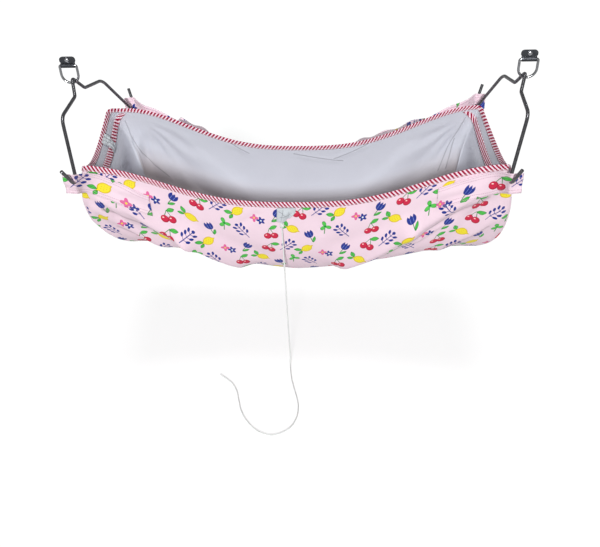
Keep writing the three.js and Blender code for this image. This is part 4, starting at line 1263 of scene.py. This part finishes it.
def smoothRoute(points, step):
    # a centripetal curve through the listed points, at even steps
    points = [Vector(p) for p in points]
    ends = [points[0] * 2 - points[1]] + points + [points[-1] * 2 - points[-2]]
    dense = []
    for a, b, c, d in zip(ends, ends[1:], ends[2:], ends[3:]):
        t1 = (b - a).length ** 0.5
        t2 = t1 + (c - b).length ** 0.5
        t3 = t2 + (d - c).length ** 0.5
        for k in range(40):
            t = mix(t1, t2, k / 40)
            ab, bc, cd = a.lerp(b, t / t1), b.lerp(c, (t - t1) / (t2 - t1)), c.lerp(d, (t - t2) / (t3 - t2))
            abc, bcd = ab.lerp(bc, t / t2), bc.lerp(cd, (t - t1) / (t3 - t1))
            dense.append(abc.lerp(bcd, (t - t1) / (t2 - t1)))
    dense.append(points[-1])
    lengths = runLengths(dense)
    count = round(lengths[-1] / step)
    even = []
    for k in range(count + 1):
        at, share = spanAt(lengths, lengths[-1] * k / count)
        even.append(dense[at].lerp(dense[at + 1], share))
    return even, lengths[-1]


def twistedTube(route, radius, sides, pitch, lobe):
    # two twisted strands, as one tube whose section turns along it
    frames = []
    normal = Vector((1, 0, 0))
    for i, at in enumerate(route):
        ahead = (route[min(i + 1, len(route) - 1)] - route[max(i - 1, 0)]).normalized()
        normal = (normal - ahead * normal.dot(ahead)).normalized()
        frames.append((at, normal.copy(), ahead.cross(normal)))
    step = (route[1] - route[0]).length

    def place(i, j):
        at, a, b = frames[i]
        angle = 2 * math.pi * j / sides
        wave = abs(math.cos(angle - math.pi * i * step / pitch))
        spoke = (a * math.cos(angle) + b * math.sin(angle)) * (radius * (1 - lobe + lobe * wave))
        return at + spoke, (i * step, j / sides * cordShape["girth"])

    bm = mappedGrid(len(route) - 1, sides, place)
    bmesh.ops.remove_doubles(bm, verts=bm.verts, dist=1e-6)
    bmesh.ops.holes_fill(bm, edges=[e for e in bm.edges if e.is_boundary], sides=0)
    return bm


def cordLook():
    material, shader, start = newMaterial("whiteBraid", {"Roughness": 0.8, "Specular IOR Level": 0.25,
                                                         "Sheen Weight": 0.15})
    uv, u, v = clothMap(start)
    plies = ribs(u + v * 0.9, cordShape["ply"])
    tone = plies.blend(colour(*cordShape["low"]), colour(*cordShape["high"]))
    return dressed(material, shader, tone, plies, 0.7, 0.0005)


whiteBraid = cordLook()
route, cordLength = smoothRoute(cordRoute, cordShape["step"])
cordTube = twistedTube(route, cordShape["diameter"] / 2, cordShape["sides"], cordShape["pitch"],
                       cordShape["lobe"])
cordPiece = finishPiece(cordTube, "pull_cord", "twist", "cradle", whiteBraid)

knot = {"x": -0.026, "height": 0.014, "aboveCord": 0.0003, "ring": 0.00215, "swell": 0.0012, "wide": 1.15,
        "rise": 0.0042, "lean": 0.0004, "points": 160, "strand": 0.0021, "sides": 12, "pitch": 0.006,
        "lobe": 0.10}


def makeKnot():
    # a tight knot: a short cord that winds through itself
    middle = Vector((knot["x"], cordRoute[0][1], cordRoute[0][2] + knot["aboveCord"] + knot["height"] / 2))
    loop = []
    for k in range(knot["points"]):
        t = 2 * math.pi * k / knot["points"]
        ring = knot["ring"] + knot["swell"] * math.cos(3 * t)
        loop.append(middle + Vector((ring * math.cos(2 * t) * knot["wide"], ring * math.sin(2 * t),
                                     knot["rise"] * math.sin(3 * t) - knot["lean"] * math.cos(t))))
    loop.append(loop[0].copy())
    bm = twistedTube(loop, knot["strand"], knot["sides"], knot["pitch"], knot["lobe"])
    return finishPiece(bm, "cord_knot", "turns", "cradle", whiteBraid)


knotPiece = makeKnot()

tab = {"middleX": -0.014, "width": 0.044, "height": 0.036, "depth": 0.005, "thickness": 0.0012,
       "offCloth": 0.0006, "top": 0.0123, "low": 0.046, "lift": 0.00115, "rows": 14, "turnRows": 8,
       "wide": 24, "narrowed": 0.26, "drawnIn": 0.65, "drawnUp": 0.34, "overlap": 0.0050,
       "rightFold": 0.0030, "rough": 0.0010, "belly": 0.0016,
       "shade": [((-0.0068, 0.048), (-0.0074, 0.071), 0.0005), ((-0.0215, 0.0385), (0.0215, 0.0385), 0.0007),
                 ((-0.0212, 0.040), (-0.0212, 0.071), 0.0003), ((0.0120, 0.044), (0.0060, 0.068), 0.0003),
                 ((-0.0120, 0.051), (0.0110, 0.060), 0.0005), ((-0.0180, 0.067), (0.0020, 0.057), 0.0005)]}


def makeTab():
    # one tape, folded double: down behind, round the bottom and up in front
    column = longColumn(front, tab["middleX"])
    top = clothPoint(column, tab["top"], tab["lift"])
    down = (clothPoint(column, tab["low"], tab["lift"]) - top).normalized()
    out = down.cross(Vector((1, 0, 0))).normalized()
    if out.y > 0:
        out.negate()
    origin = top + out * (tab["offCloth"] + tab["thickness"] / 2)
    origin.x = 0
    turn = (tab["depth"] - tab["thickness"]) / 2
    straight = tab["height"] - turn
    falls = [straight * k / tab["rows"] for k in range(tab["rows"] + 1)]
    angles = [math.pi * k / tab["turnRows"] for k in range(1, tab["turnRows"])]
    line = [Vector((0, fall)) for fall in falls]
    line += [Vector((turn * (1 - math.cos(angle)), straight + turn * math.sin(angle))) for angle in angles]
    line += [Vector((2 * turn, fall)) for fall in reversed(falls)]
    runs = runLengths(line)

    def place(i, j):
        away, fall = line[i]
        across = j / tab["wide"] - 0.5
        share = fall / tab["height"]
        # the tape is drawn in towards the knot, with its right part folded over the left
        pull = smooth(share, 0.10, 1.0)
        x = tab["middleX"] + across * tab["width"] * (1 - tab["narrowed"] * pull)
        x += (knot["x"] - tab["middleX"]) * tab["drawnIn"] * pull
        fall = fall * (1 - tab["drawnUp"] * smooth(across, -0.10, 0.5) * pull)
        overlap = smooth(across, -0.18, -0.13) * (1 - smooth(across, 0.0, 0.34)) * smooth(share, 0.02, 0.35)
        lift = away + tab["overlap"] * overlap
        lift += tab["rightFold"] * smooth(across, 0.30, 0.5) * smooth(share, 0.2, 0.6)
        lift += tab["rough"] * math.sin(across * 25 + share * 4) * pull
        if away > turn:
            lift += tab["belly"] * (1 - abs(across) * 2) * math.sin(math.pi * min(1, share))
        return origin + Vector((x, 0, 0)) + down * fall + out * lift, (across * tab["width"], runs[i])

    bm = mappedGrid(len(line) - 1, tab["wide"], place)
    material = whiteTape("tabTape", 0.0022, tab["shade"])
    return finishPiece(bm, "cord_tab", "fold", "cradle", material, tab["thickness"])


trims.append(makeTab())
print("tab, knot and cord made, cord length", round(cordLength, 4))

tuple(cordRoute[0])
